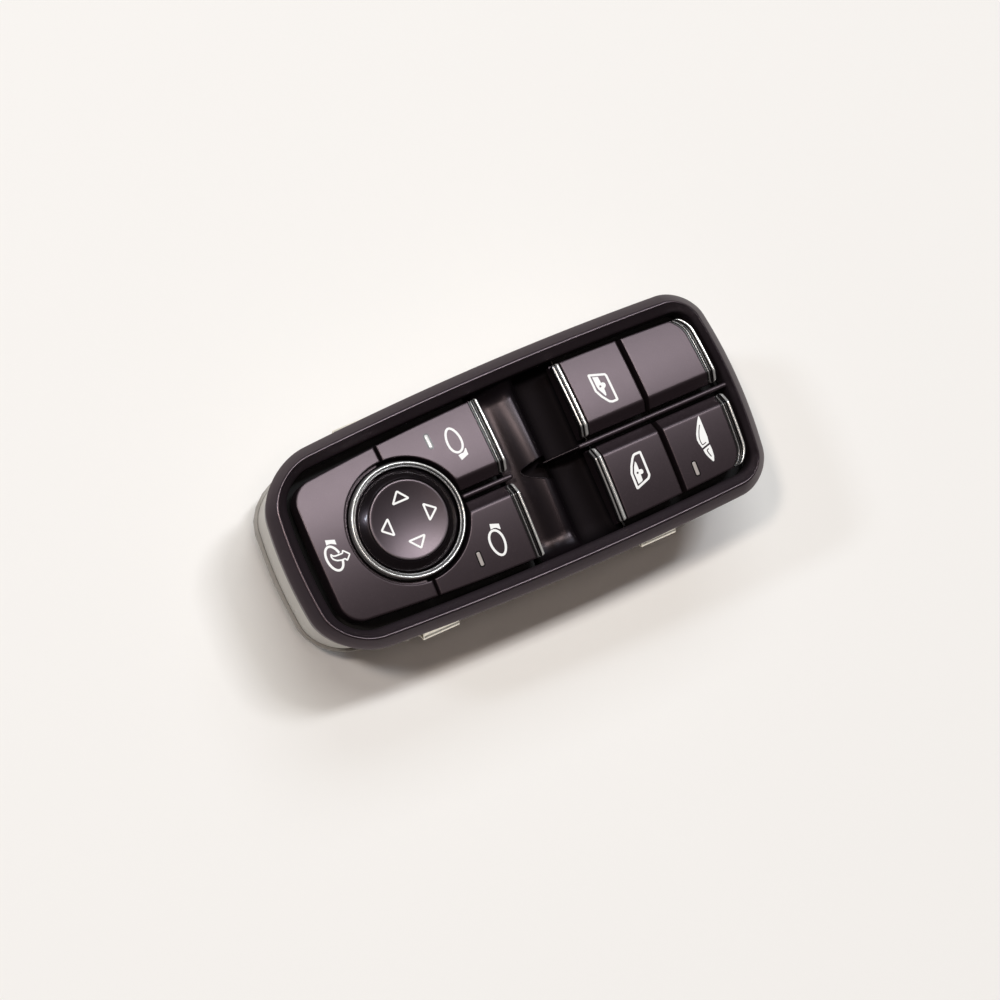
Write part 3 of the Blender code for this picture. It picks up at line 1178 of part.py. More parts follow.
def build_joystick():
    """Build the joystick: chrome ring, knob, dished pad, stem and gimbal ring."""
    centre = (JOY_X, 0.0)
    top = CREST_Z + RING_RISE
    inner = KNOB_RADIUS + 0.0004
    wall = RING_RADIUS + RING_WALL
    ring = [(RING_RADIUS, top - 0.0006), (RING_RADIUS, top - 0.0018), (wall, top - 0.0026),
            (wall, DECK_Z + SEAT), (RING_RADIUS, DECK_Z + SEAT), (RING_RADIUS - 0.0001, top - 0.0030),
            (inner + 0.0008, top - 0.0013), (inner, top - 0.0007), (inner + 0.0003, top - 0.0001),
            (inner + 0.0008, top), (RING_RADIUS - 0.0005, top)]
    finish(revolve("ring", ring, centre, ROUND_STEPS), "joystick_ring", "chrome", True)

    pivot = JOY_PIVOT_Z
    recess_z = DISH_EDGE_Z - 0.0026
    under_z = recess_z - 0.0013
    lip = DISH_RADIUS + 0.0001
    knob = [(0.0, recess_z), (lip, recess_z), (lip, DISH_EDGE_Z - 0.0003),
            (lip + 0.0003, DISH_EDGE_Z - 0.0001)]
    for share in (0.45, 0.75, 1.0):
        radius = lip + 0.0003 + (KNOB_RADIUS - lip - 0.0003) * share
        knob.append((radius, pivot + math.sqrt(KNOB_SPHERE**2 - radius**2) - 0.00005))
    knob += [(KNOB_RADIUS, KNOB_EDGE_Z - 0.0010), (KNOB_RADIUS - 0.0012, KNOB_EDGE_Z - 0.0011),
             (KNOB_RADIUS - 0.0018, under_z), (0.0, under_z)]
    finish(revolve("knob", knob, centre, ROUND_STEPS), "joystick_knob", "gloss_black", True)

    pad_r = lip - 0.00015
    pad = [(0.0, recess_z + SEAT), (pad_r, recess_z + SEAT), (pad_r, DISH_EDGE_Z - 0.0003)]
    for share in (0.95, 0.72, 0.42):
        pad.append((pad_r * share, DISH_EDGE_Z - 0.0001 - DISH_DEPTH * (1 - share**2)))
    pad.append((0.0, DISH_EDGE_Z - 0.0001 - DISH_DEPTH))
    finish(revolve("pad", pad, centre, ROUND_STEPS), "joystick_pad", "key_plastic", True)

    foot_z = DOME_TOP_Z + JOY_PLAY
    stem_top = under_z - SEAT
    hub = GIMBAL_HEIGHT / 2
    foot_top = foot_z + JOY_FOOT_THICKNESS
    neck = STEM_RADIUS * 0.78
    head = STEM_RADIUS * 1.7
    stem = [(0.0, foot_z), (JOY_FOOT_RADIUS, foot_z), (JOY_FOOT_RADIUS, foot_top),
            (STEM_RADIUS, foot_top + 0.0002), (STEM_RADIUS, pivot + hub + 0.0010),
            (neck, pivot + hub + 0.0030), (neck, stem_top - 0.0040), (head, stem_top - 0.0012),
            (head, stem_top), (0.0, stem_top)]
    post = revolve("stem", stem, centre, ROUND_STEPS // 2)
    reach = GIMBAL_RADIUS - 0.0001
    pins = rod("pins", "Y", (JOY_X, 0.0, pivot), GIMBAL_PIN, -reach, reach)
    combine(post, [pins], "UNION")
    finish(post, "joystick_stem", "carrier_plastic", True)

    half = GIMBAL_HEIGHT / 2
    inner = GIMBAL_RADIUS - GIMBAL_WALL
    section = [(GIMBAL_RADIUS, pivot - half), (GIMBAL_RADIUS, pivot + half), (inner, pivot + half),
               (inner, pivot - half)]
    gimbal = revolve("gimbal", section, centre, 16)
    outer_pins = []
    for side in (1, -1):
        near = JOY_X + side * (GIMBAL_RADIUS - 0.0010)
        x_range = sorted((near, near + side * 0.0037))
        outer_pins.append(rod("pin", "X", (0.0, 0.0, pivot), GIMBAL_PIN, *x_range))
    combine(gimbal, outer_pins, "UNION")
    bore = rod("bore", "Y", (JOY_X, 0.0, pivot), GIMBAL_PIN + PIVOT_PLAY, -GIMBAL_RADIUS - 0.001,
               GIMBAL_RADIUS + 0.001, 12)
    combine(gimbal, [bore], "DIFFERENCE")
    finish(gimbal, "gimbal_ring", "carrier_plastic", True)


# The whole switch

build_bezel()
build_housing()
build_cover()
build_connector()
build_pins()
build_board()
build_mat()
for end, clip_x in (("left", CLIP_LEFT_X), ("right", CLIP_RIGHT_X)):
    build_clip(f"clip_rear_{end}", clip_x, 1)
    build_clip(f"clip_front_{end}", clip_x, -1)
for hand, row in (("right", 1), ("left", -1)):
    build_window_key(f"front_{hand}", row, False)
    build_window_key(f"rear_{hand}", row, True, "rear_window" if row < 0 else None)
    build_rocker(f"front_{hand}", FRONT_PIVOT_X, row, WELL_END - FRONT_PIVOT_X + FRONT_PLATE_BACK)
    build_rocker(f"rear_{hand}", REAR_PIVOT_X, row, REAR_LIP - REAR_PIVOT_X - REAR_PLATE_BACK)
for name, row in (("left_mirror", 1), ("right_mirror", -1)):
    build_select_key(name, row)
    build_push_carrier(name, (SELECT_X, row * ROW_Y), SELECT_PLATE / 2, PLATE_WIDTH / 2)
build_fold_key()
build_push_carrier("mirror_fold", (FOLD_X, 0.0), FOLD_PLATE_WIDTH / 2, FOLD_PLATE / 2)
build_joystick()
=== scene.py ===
"""Looks of a driver's door power window switch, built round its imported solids.

The bezel, keys, bright trims and joystick are modelled again with fine, rounded surfaces in the
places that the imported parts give. Symbols, lenses, clips and screws are added, and every part gets
a procedural finish. Sizes are in millimetres unless a name says otherwise.
"""

import json
import logging
import math
from dataclasses import dataclass
from enum import Enum
from typing import Callable, Sequence, Union

import bmesh
import bpy
import numpy as np
from mathutils import Matrix, Vector

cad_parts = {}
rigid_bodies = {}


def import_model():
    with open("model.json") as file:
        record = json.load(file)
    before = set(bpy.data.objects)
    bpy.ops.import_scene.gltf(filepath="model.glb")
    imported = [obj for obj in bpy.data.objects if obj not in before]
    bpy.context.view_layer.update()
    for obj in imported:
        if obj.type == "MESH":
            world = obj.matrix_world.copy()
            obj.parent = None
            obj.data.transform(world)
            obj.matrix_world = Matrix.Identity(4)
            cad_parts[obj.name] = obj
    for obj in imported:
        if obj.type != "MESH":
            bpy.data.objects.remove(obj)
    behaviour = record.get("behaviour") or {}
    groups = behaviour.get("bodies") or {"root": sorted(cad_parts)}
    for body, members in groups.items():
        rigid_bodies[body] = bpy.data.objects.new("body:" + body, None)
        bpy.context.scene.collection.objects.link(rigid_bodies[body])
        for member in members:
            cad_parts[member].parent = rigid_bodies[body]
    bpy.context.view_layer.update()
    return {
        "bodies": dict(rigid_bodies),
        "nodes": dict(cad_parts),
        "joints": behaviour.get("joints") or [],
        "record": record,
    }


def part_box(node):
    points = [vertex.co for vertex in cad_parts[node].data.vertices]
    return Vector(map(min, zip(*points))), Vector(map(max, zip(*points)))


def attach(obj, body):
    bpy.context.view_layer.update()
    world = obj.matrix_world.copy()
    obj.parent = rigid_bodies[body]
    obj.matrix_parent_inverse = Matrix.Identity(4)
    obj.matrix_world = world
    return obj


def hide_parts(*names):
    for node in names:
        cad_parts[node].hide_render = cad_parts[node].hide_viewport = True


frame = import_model()

log = logging.getLogger("window_switch")

MM = 0.001
Point2 = tuple[float, float]
Point3 = tuple[float, float, float]
Colour = tuple[float, float, float]
Numbers = tuple[float, ...]


# Shader maths


class Value:
    """A node socket that can be used in Python arithmetic."""

    def __init__(self, graph: "NodeTree", socket: bpy.types.NodeSocket) -> None:
        """Wrap an output socket of a tree."""
        self.graph = graph
        self.socket = socket

    def _math(self, operation: str, first: "Input", second: "Input") -> "Value":
        """Return the result of a Math node with two operands."""
        return self.graph.node("ShaderNodeMath", {"operation": operation}, {0: first, 1: second})

    def __add__(self, other: "Input") -> "Value":
        """Return the sum."""
        return self._math("ADD", self, other)

    def __radd__(self, other: "Input") -> "Value":
        """Return the sum with a number on the left."""
        return self._math("ADD", other, self)

    def __sub__(self, other: "Input") -> "Value":
        """Return the difference."""
        return self._math("SUBTRACT", self, other)

    def __rsub__(self, other: "Input") -> "Value":
        """Return a number less this value."""
        return self._math("SUBTRACT", other, self)

    def __mul__(self, other: "Input") -> "Value":
        """Return the product."""
        return self._math("MULTIPLY", self, other)

    def __rmul__(self, other: "Input") -> "Value":
        """Return the product with a number on the left."""
        return self._math("MULTIPLY", other, self)

    def __truediv__(self, other: "Input") -> "Value":
        """Return the quotient."""
        return self._math("DIVIDE", self, other)

    def over(self, limit: "Input") -> "Value":
        """Return 1 where the value is above a limit, and 0 elsewhere."""
        return self._math("GREATER_THAN", self, limit)

    def wave(self) -> "Value":
        """Return the sine."""
        return self._math("SINE", self, 0.0)

    def ease(self, low: float, high: float) -> "Value":
        """Rise smoothly from 0 at the low limit to 1 at the high one."""
        settings = {"interpolation_type": "SMOOTHSTEP"}
        return self.graph.node("ShaderNodeMapRange", settings, {0: self, 1: low, 2: high})


Input = Union[Value, float, int, Sequence[float]]


class NodeTree:
    """A node tree that is filled through wrapped sockets."""

    def __init__(self, tree: bpy.types.NodeTree) -> None:
        """Take the tree that is filled."""
        self.tree = tree

    def node(
        self,
        kind: str,
        settings: dict[str, object],
        inputs: dict[Union[int, str], Input],
        output: Union[int, str] = 0,
    ) -> Value:
        """Add a node.

        Args:
            kind: The node's type.
            settings: Its properties, set before its sockets.
            inputs: Values or links, by the socket's place or name.
            output: The output socket to return.

        Returns:
            The wrapped output socket.
        """
        made = self.tree.nodes.new(kind)
        for name, value in settings.items():
            setattr(made, name, value)
        for key, value in inputs.items():
            socket = made.inputs[key]
            if isinstance(value, Value):
                self.tree.links.new(value.socket, socket)
            else:
                socket.default_value = value
        return Value(self, made.outputs[output]) if made.outputs else Value(self, None)


class Graph(NodeTree):
    """The node tree of one material."""

    def __init__(self, material: bpy.types.Material) -> None:
        """Empty the material's tree.

        Args:
            material: The material, whose nodes are replaced.
        """
        material.use_nodes = True
        super().__init__(material.node_tree)
        self.tree.nodes.clear()

    def place(self, stretch: Point3 = (1.0, 1.0, 1.0)) -> Value:
        """Return the object's coordinates in millimetres.

        Args:
            stretch: Factors along X, Y and Z; a small one draws a pattern out along its axis.

        Returns:
            The coordinates' socket.
        """
        coords = self.node("ShaderNodeTexCoord", {}, {}, "Object")
        scale = tuple(factor / MM for factor in stretch)
        return self.node("ShaderNodeVectorMath", {"operation": "MULTIPLY"}, {0: coords, 1: scale})

    def axis(self, name: str) -> Value:
        """Return one object coordinate in millimetres."""
        return self.node("ShaderNodeSeparateXYZ", {}, {0: self.place()}, name)

    def noise(self, size: float, detail: float = 3.0, stretch: Point3 = (1.0, 1.0, 1.0)) -> Value:
        """Return a noise pattern, with the size of its features in millimetres."""
        inputs = {"Vector": self.place(stretch), "Scale": 1.0 / size, "Detail": detail}
        return self.node("ShaderNodeTexNoise", {}, inputs, "Fac")

    def cells(self, size: float) -> Value:
        """Return the distance to the nearest of random points, for pebbled grain."""
        inputs = {"Vector": self.place(), "Scale": 1.0 / size}
        return self.node("ShaderNodeTexVoronoi", {"feature": "F1"}, inputs, "Distance")

    def mix(self, share: Input, first: Input, second: Input) -> Value:
        """Blend two colours by the share of the second."""
        settings = {"data_type": "RGBA"}
        return self.node("ShaderNodeMix", settings, {0: share, 6: first, 7: second}, 2)

    def relief(self, height: Value, depth: float) -> Value:
        """Return a normal bent by a height pattern, whose depth is in millimetres."""
        return self.node("ShaderNodeBump", {}, {"Distance": depth * MM, "Height": height}, "Normal")


def rgba(colour: Colour, gain: float = 1.0) -> tuple[float, float, float, float]:
    """Return a linear colour, with a factor on its brightness, as a socket takes it."""
    return (colour[0] * gain, colour[1] * gain, colour[2] * gain, 1.0)


# Finishes


@dataclass(frozen=True)
class Finish:
    """A moulded or coated surface with mottled colour, uneven gloss and fine grain."""

    name: str
    colour: Colour
    roughness: float = 0.45
    metallic: float = 0.0
    coat: float = 0.0
    coat_roughness: float = 0.05
    specular: float = 0.5
    mottle: float = 0.10
    mottle_size: float = 6.0
    grain_size: float = 0.30
    grain_depth: float = 0.006
    gloss_change: float = 0.06
    tint: Colour = (1.0, 1.0, 1.0)

    def colour_pattern(self, graph: Graph) -> Value:
        """Return the surface's colour, which drifts a little."""
        low, high = (rgba(self.colour, 1.0 + sign * self.mottle) for sign in (-1, 1))
        return graph.mix(graph.noise(self.mottle_size), low, high)

    def roughness_pattern(self, graph: Graph) -> Value:
        """Return the surface's roughness."""
        drift = graph.noise(self.mottle_size * 0.4, 4.0) - 0.5
        return drift * (2.0 * self.gloss_change) + self.roughness

    def height_pattern(self, graph: Graph) -> Value:
        """Return the height of the grain, from 0 to 1."""
        return graph.noise(self.grain_size, 4.0)

    def material(self) -> bpy.types.Material:
        """Make the finish's material on first use.

        Returns:
            The material.
        """
        found = bpy.data.materials.get(self.name)
        if found is not None:
            return found
        made = bpy.data.materials.new(self.name)
        graph = Graph(made)
        shader = graph.node(
            "ShaderNodeBsdfPrincipled",
            {},
            {
                "Base Color": self.colour_pattern(graph),
                "Roughness": self.roughness_pattern(graph),
                "Metallic": self.metallic,
                "Coat Weight": self.coat,
                "Coat Roughness": self.coat_roughness,
                "Specular IOR Level": self.specular,
                "Specular Tint": rgba(self.tint),
                "Normal": graph.relief(self.height_pattern(graph), self.grain_depth),
            },
        )
        graph.node("ShaderNodeOutputMaterial", {}, {"Surface": shader})
        return made


@dataclass(frozen=True)
class GrainedPlastic(Finish):
    """Black moulding with an etched pebble grain, worn smoother along its crest."""

    crest: float = 0.0
    crest_gloss: float = 0.10

    def height_pattern(self, graph: Graph) -> Value:
        """Return pebbles with finer noise between them."""
        return graph.cells(self.grain_size) * 0.7 + graph.noise(self.grain_size * 0.5) * 0.4

    def roughness_pattern(self, graph: Graph) -> Value:
        """Return a roughness that falls towards the crest."""
        near_crest = graph.axis("Z").ease(self.crest - 0.5, self.crest)
        return super().roughness_pattern(graph) - near_crest * self.crest_gloss


@dataclass(frozen=True)
class SoftCoating(Finish):
    """Satin paint with a fine metallic-looking speckle."""

    speckle_size: float = 0.22
    speckle: float = 0.35
    fleck_gain: float = 2.2

    def colour_pattern(self, graph: Graph) -> Value:
        """Scatter light flecks over the paint.

        Args:
            graph: The material's tree.

        Returns:
            The paint's colour.
        """
        flecks = graph.noise(self.speckle_size, 2.0).ease(0.50, 0.74)
        base = super().colour_pattern(graph)
        return graph.mix(flecks * self.speckle, base, rgba(self.colour, self.fleck_gain))


@dataclass(frozen=True)
class DrawnMetal(Finish):
    """Metal with fine lines along X from rolling or drawing."""

    def height_pattern(self, graph: Graph) -> Value:
        """Return lines drawn out along X."""
        return graph.noise(self.grain_size, 3.0, (0.03, 1.0, 1.0))


@dataclass(frozen=True)
class Laminate(Finish):
    """Circuit board laminate with tracks under its lacquer."""

    track_colour: Colour = (0.10, 0.34, 0.14)
    track_pitch: float = 1.6

    def colour_pattern(self, graph: Graph) -> Value:
        """Draw the copper tracks under the lacquer.

        Args:
            graph: The material's tree.

        Returns:
            The lacquer's colour, lighter over the copper tracks.
        """
        bend = graph.noise(14.0, 1.0) * 5.0
        wave = ((graph.axis("Y") + bend) * (2 * math.pi / self.track_pitch)).wave()
        patch = graph.noise(9.0, 1.0).ease(0.42, 0.50)
        tracks = wave.ease(0.35, 0.55) * patch
        return graph.mix(tracks, super().colour_pattern(graph), rgba(self.track_colour))


@dataclass(frozen=True)
class PaintedShadeShell(Finish):
    """A shell of one colour, painted black above a height as painted shade under the bezel's skirt
    and in the gaps round the keys.
    """

    split: float = 31.7
    shade_colour: Colour = (0.0030, 0.0026, 0.0030)

    def colour_pattern(self, graph: Graph) -> Value:
        """Return the shell's colour below the split and black painted shade above it."""
        in_shade = graph.axis("Z").over(self.split)
        return graph.mix(in_shade, super().colour_pattern(graph), rgba(self.shade_colour))

    def roughness_pattern(self, graph: Graph) -> Value:
        """Return the roughness, duller where the shade is painted."""
        return super().roughness_pattern(graph) + graph.axis("Z").over(self.split) * 0.3


PLUM = (1.0, 0.79, 0.86)

BEZEL = GrainedPlastic("bezel_grain", (0.0155, 0.0114, 0.0140), 0.42, grain_size=0.26,
                       grain_depth=0.009, mottle=0.06, crest=43.0, crest_gloss=0.14, specular=0.95,
                       gloss_change=0.02, tint=PLUM)
KEYS = SoftCoating("key_coating", (0.0118, 0.0080, 0.0096), 0.37, grain_size=0.16,
                   grain_depth=0.006, mottle=0.06, specular=0.72, speckle=0.9, gloss_change=0.010,
                   tint=PLUM)
WELL = GrainedPlastic("well_grain", (0.0040, 0.0028, 0.0036), 0.30, grain_size=0.22,
                      grain_depth=0.005, mottle=0.05, crest=60.0, specular=0.26,
                      gloss_change=0.015, tint=(1.0, 0.84, 0.93))
# A darker copy of the well's black: painted shade for the deep floor, the underside and the pocket.
WELL_SHADE = Finish("well_painted_shade", (0.0016, 0.0012, 0.0015), 0.70, mottle=0.05, grain_size=0.3,
              grain_depth=0.003, specular=0.14, gloss_change=0.02, tint=PLUM)
GLOSS = Finish("joystick_gloss", (0.0050, 0.0038, 0.0045), 0.24, coat=0.35, mottle=0.05,
               grain_size=0.8, grain_depth=0.001, gloss_change=0.02, tint=PLUM)
PAD = SoftCoating("joystick_satin", (0.0125, 0.0092, 0.0110), 0.30, grain_size=0.16,
                  grain_depth=0.004, mottle=0.05, specular=0.62, speckle=0.4, gloss_change=0.010,
                  tint=PLUM)
CHROME = Finish("bright_chrome", (0.90, 0.89, 0.87), 0.22, 0.66, mottle=0.02, grain_size=2.5,
                grain_depth=0.0003, gloss_change=0.02)
SHADE_CHROME = Finish("shaded_chrome", (0.34, 0.33, 0.33), 0.26, 0.70, mottle=0.02, grain_size=2.5,
                      grain_depth=0.0003, gloss_change=0.02)
# Lighter than the pad: a painted highlight on the pad's rounded rim.
PAD_EDGE_HIGHLIGHT = Finish("joystick_edge_highlight", (0.045, 0.038, 0.041), 0.30, mottle=0.05, grain_size=0.3,
                  grain_depth=0.002, specular=0.95, tint=PLUM)
# Near black: the lens frames' black, and painted shade in the grooves of the chrome trims and ring.
BLACK_FRAME_AND_SHADE = Finish("black_frame_and_painted_shade", (0.0035, 0.0028, 0.0032), 0.28, mottle=0.10, grain_size=0.4,
                grain_depth=0.003, specular=0.35)
PRINT = Finish("symbol_white", (0.92, 0.91, 0.90), 0.55, mottle=0.03, mottle_size=1.5,
               grain_size=0.10, grain_depth=0.003, specular=0.3)
LENS = Finish("lens_milky", (0.60, 0.585, 0.57), 0.30, coat=0.4, mottle=0.06, mottle_size=1.5,
              grain_size=0.3, grain_depth=0.002)
LENS_GREY = Finish("lens_grey", (0.40, 0.355, 0.335), 0.34, coat=0.3, mottle=0.08, mottle_size=1.5,
                   grain_size=0.3, grain_depth=0.002)
# The housing's pale shell is painted black above the split as painted shade under the skirt and
# keys.
HOUSING = PaintedShadeShell("housing_moulding_painted_shade", (0.58, 0.55, 0.51), 0.50, mottle=0.05, mottle_size=12.0,
                  grain_size=0.35, grain_depth=0.004)
# The cover's darker colour is partly its own tone and partly painted shade under the housing's
# overhang.
COVER_SHADED = Finish("cover_moulding_shaded", (0.31, 0.285, 0.26), 0.50, mottle=0.05, mottle_size=12.0,
               grain_size=0.35, grain_depth=0.004)
CARRIER = Finish("carrier_moulding", (0.030, 0.028, 0.030), 0.45, mottle=0.05, grain_size=0.3)
CONNECTOR = Finish("connector_moulding", (0.020, 0.020, 0.022), 0.42, mottle=0.10, grain_size=0.3)
BOARD = Laminate("board_laminate_green", (0.012, 0.11, 0.040), 0.30, coat=0.3, grain_size=0.5,
                 grain_depth=0.004)
RUBBER = Finish("mat_silicone", (0.36, 0.37, 0.38), 0.62, mottle=0.06, grain_size=0.5)
PIN = DrawnMetal("pin_tin", (0.76, 0.73, 0.66), 0.24, 1.0, mottle=0.06, grain_size=0.15)
STEEL = DrawnMetal("clip_steel", (0.93, 0.89, 0.80), 0.46, 1.0, mottle=0.05, grain_size=0.12,
                   grain_depth=0.004)
RESIN = Finish("chip_resin_black", (0.018, 0.018, 0.018), 0.55, mottle=0.12, grain_size=0.15)
SCREW = DrawnMetal("screw_zinc", (0.72, 0.73, 0.75), 0.30, 1.0, mottle=0.06, grain_size=0.2)
FLOOR = Finish("floor_card", (0.875, 0.846, 0.824), 0.75, mottle=0.006, mottle_size=120.0,
               grain_size=1.2, grain_depth=0.004, specular=0.2)


# Mesh making


class Skin:
    """The points and faces of a closed shell, in millimetres."""

    def __init__(self) -> None:
        """Start an empty shell."""
        self.points: list[Point3] = []
        self.faces: list[tuple[int, ...]] = []
        self.slots: list[int] = []

    def ring(self, points: Sequence[Point3]) -> list[int]:
        """Add a row of points.

        Args:
            points: The points in order.

        Returns:
            Their numbers.
        """
        first = len(self.points)
        self.points.extend(tuple(float(c) for c in point) for point in points)
        return list(range(first, len(self.points)))

    def bridge(self, low: list[int], high: list[int], closed: bool = True, slot: int = 0) -> None:
        """Join two rows with quads.

        Args:
            low: The first row's point numbers.
            high: The second row's, as many.
            closed: Whether the rows are loops.
            slot: The material slot of the faces.
        """
        for i in range(len(low) if closed else len(low) - 1):
            j = (i + 1) % len(low)
            self.faces.append((low[i], low[j], high[j], high[i]))
            self.slots.append(slot)

    def cap(self, row: list[int], slot: int = 0) -> None:
        """Close a loop with a fan about its middle.

        Args:
            row: The loop's point numbers.
            slot: The material slot of the faces.
        """
        middle = np.mean([self.points[i] for i in row], axis=0)
        centre = self.ring([tuple(middle)])[0]
        for i in range(len(row)):
            self.faces.append((row[i], row[(i + 1) % len(row)], centre))
            self.slots.append(slot)

    def loft(self, rings: Sequence[Sequence[Point3]], cyclic: bool = False,
             slots: Sequence[int] = ()) -> None:
        """Skin a stack of loops.

        Args:
            rings: The loops, with equal counts.
            cyclic: Whether the last loop joins the first; otherwise both ends are closed.
            slots: The material slot of each band, where it isn't 0.
        """
        rows = [self.ring(ring) for ring in rings]
        pairs = list(zip(rows, rows[1:]))
        if cyclic:
            pairs.append((rows[-1], rows[0]))
        for i, (low, high) in enumerate(pairs):
            self.bridge(low, high, True, slots[i] if i < len(slots) else 0)
        if not cyclic:
            self.cap(rows[0])
            self.cap(rows[-1])

    def sweep(self, sections: Sequence[Sequence[Point3]], slots: Sequence[int] = ()) -> None:
        """Skin sections along a path and close both ends.

        Args:
            sections: Closed sections with equal counts.
            slots: The material slot of each strip that runs along the path.
        """
        rows = [self.ring(section) for section in sections]
        count = len(rows[0])
        for low, high in zip(rows, rows[1:]):
            for i in range(count):
                j = (i + 1) % count
                self.faces.append((low[i], low[j], high[j], high[i]))
                self.slots.append(slots[i] if i < len(slots) else 0)
        self.cap(rows[0])
        self.cap(rows[-1])

    def blank(self, name: str, finishes: Sequence[Finish] = ()) -> bpy.types.Object:
        """Make the object without a body to ride on.

        Args:
            name: The object's name.
            finishes: The finish of each material slot.

        Returns:
            The object, which is ready to be cut or repeated.
        """
        mesh = bpy.data.meshes.new(name)
        scaled = [(x * MM, y * MM, z * MM) for x, y, z in self.points]
        mesh.from_pydata(scaled, [], self.faces)
        for finish in finishes:
            mesh.materials.append(finish.material())
        mesh.polygons.foreach_set("material_index", self.slots)
        bm = bmesh.new()
        bm.from_mesh(mesh)
        bmesh.ops.remove_doubles(bm, verts=bm.verts, dist=1e-7)
        bmesh.ops.dissolve_degenerate(bm, edges=bm.edges, dist=1e-8)
        many = [face for face in bm.faces if len(face.verts) > 4]
        bmesh.ops.triangulate(bm, faces=many, ngon_method="BEAUTY")
        bmesh.ops.recalc_face_normals(bm, faces=bm.faces)
        bm.to_mesh(mesh)
        bm.free()
        obj = bpy.data.objects.new(name, mesh)
        bpy.context.scene.collection.objects.link(obj)
        return obj

    def piece(self, name: str, finishes: Union[Finish, Sequence[Finish]], body: str,
              slot: str = "", crease: float = 38.0) -> bpy.types.Object:
        """Make the object, dress it and let it ride on a body.

        Args:
            name: The piece's name.
            finishes: Its finish, or one for each material slot.
            body: The moving body that carries it.
            slot: The record's material slot; not used.
            crease: The angle in degrees above which an edge stays sharp.

        Returns:
            The finished object.
        """
        listed = [finishes] if isinstance(finishes, Finish) else finishes
        return settle(self.blank(name, listed), body, crease)


def settle(obj: bpy.types.Object, body: str,
           crease: float = 38.0) -> bpy.types.Object:
    """Shade a finished mesh smoothly and let it ride on its body.

    Args:
        obj: The object, whose place is in its mesh.
        body: The moving body that carries it.
        crease: The angle in degrees above which an edge stays sharp.

    Returns:
        The same object.
    """
    mesh = obj.data
    mesh.polygons.foreach_set("use_smooth", [True] * len(mesh.polygons))
    mesh.set_sharp_from_angle(angle=math.radians(crease))
    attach(obj, body)
    log.info("%s: %d faces on %s", obj.name, len(mesh.polygons), body)
    return obj


def cut(target: bpy.types.Object, tool: bpy.types.Object) -> None:
    """Cut one closed mesh out of another.

    Args:
        target: The object that is cut, before it rides on a body.
        tool: The object that is cut away and then dropped.
    """
    change = target.modifiers.new("cut", "BOOLEAN")
    change.operation = "DIFFERENCE"
    change.solver = "EXACT"
    change.object = tool
    bake(target)
    bpy.data.objects.remove(tool, do_unlink=True)


def bake(obj: bpy.types.Object) -> None:
    """Turn an object's modifiers into plain mesh.

    Args:
        obj: The object.
    """
    depsgraph = bpy.context.evaluated_depsgraph_get()
    mesh = bpy.data.meshes.new_from_object(obj.evaluated_get(depsgraph))
    mesh.name = obj.name
    obj.modifiers.clear()
    obj.data = mesh


class Layout(NodeTree):
    """A Geometry Nodes tree that repeats one small mesh over a grid of places."""

    SOCKETS = {"Centre": "Vector", "Count X": "Int", "Count Y": "Int", "Length X": "Float",
               "Length Y": "Float", "Turn": "Float", "Seed": "Int", "Finish": "Material"}

    def __init__(self, name: str) -> None:
        """Build the tree with its named inputs.

        Args:
            name: The tree's name.
        """
        super().__init__(bpy.data.node_groups.new(name, "GeometryNodeTree"))
        sockets = self.tree.interface
        sockets.new_socket("Geometry", in_out="INPUT", socket_type="NodeSocketGeometry")
        for title, kind in self.SOCKETS.items():
            sockets.new_socket(title, in_out="INPUT", socket_type="NodeSocket" + kind)
        sockets.new_socket("Geometry", in_out="OUTPUT", socket_type="NodeSocketGeometry")
        given = self.tree.nodes.new("NodeGroupInput")
        take = {socket.name: Value(self, socket) for socket in given.outputs if socket.name}
        grid = self.node("GeometryNodeMeshGrid", {}, {
            "Size X": take["Length X"], "Size Y": take["Length Y"],
            "Vertices X": take["Count X"], "Vertices Y": take["Count Y"]}, "Mesh")
        placed = self.node("GeometryNodeTransform", {}, {
            "Geometry": grid, "Translation": take["Centre"]})
        place = self.node("GeometryNodeInputPosition", {}, {})
        across = self.node("ShaderNodeSeparateXYZ", {}, {0: place}, "Y")
        chance = self.node("FunctionNodeRandomValue", {"data_type": "FLOAT"},
                           {2: -1.0, 3: 1.0, "Seed": take["Seed"]}, 1)
        turn = (0.0 - across).over(0.0) * math.pi + chance * take["Turn"]
        spin = self.node("ShaderNodeCombineXYZ", {}, {"Z": turn})
        copies = self.node("GeometryNodeInstanceOnPoints", {}, {
            "Points": placed, "Instance": take["Geometry"], "Rotation": spin})
        solid = self.node("GeometryNodeRealizeInstances", {}, {"Geometry": copies})
        dressed = self.node("GeometryNodeSetMaterial", {}, {
            "Geometry": solid, "Material": take["Finish"]})
        self.node("NodeGroupOutput", {}, {0: dressed})

    def spread(self, obj: bpy.types.Object, values: dict[str, object]) -> None:
        """Repeat an object's mesh and turn the result into plain mesh.

        Args:
            obj: The object with one copy, at the origin.
            values: What the tree's inputs get, by their names.
        """
        change = obj.modifiers.new("copies", "NODES")
        change.node_group = self.tree
        for item in self.tree.interface.items_tree:
            if item.in_out == "INPUT" and item.name in values:
                change[item.identifier] = values[item.name]
        bake(obj)


def through(points: Sequence[Numbers], steps: int) -> list[Numbers]:
    """Return a smooth curve through points.

    Args:
        points: The points, in order.
        steps: The number of steps between two of them.

    Returns:
        The points of a Catmull-Rom curve.
    """
    padded = [points[0], *points, points[-1]]
    curve: list[Numbers] = []
    for a, b, c, d in zip(padded, padded[1:], padded[2:], padded[3:]):
        for i in range(steps):
            t = i / steps
            curve.append(tuple(
                0.5 * (2 * q + (r - p) * t + (2 * p - 5 * q + 4 * r - s) * t * t
                       + (3 * q - p - 3 * r + s) * t**3)
                for p, q, r, s in zip(a, b, c, d)))
    curve.append(tuple(points[-1]))
    return curve


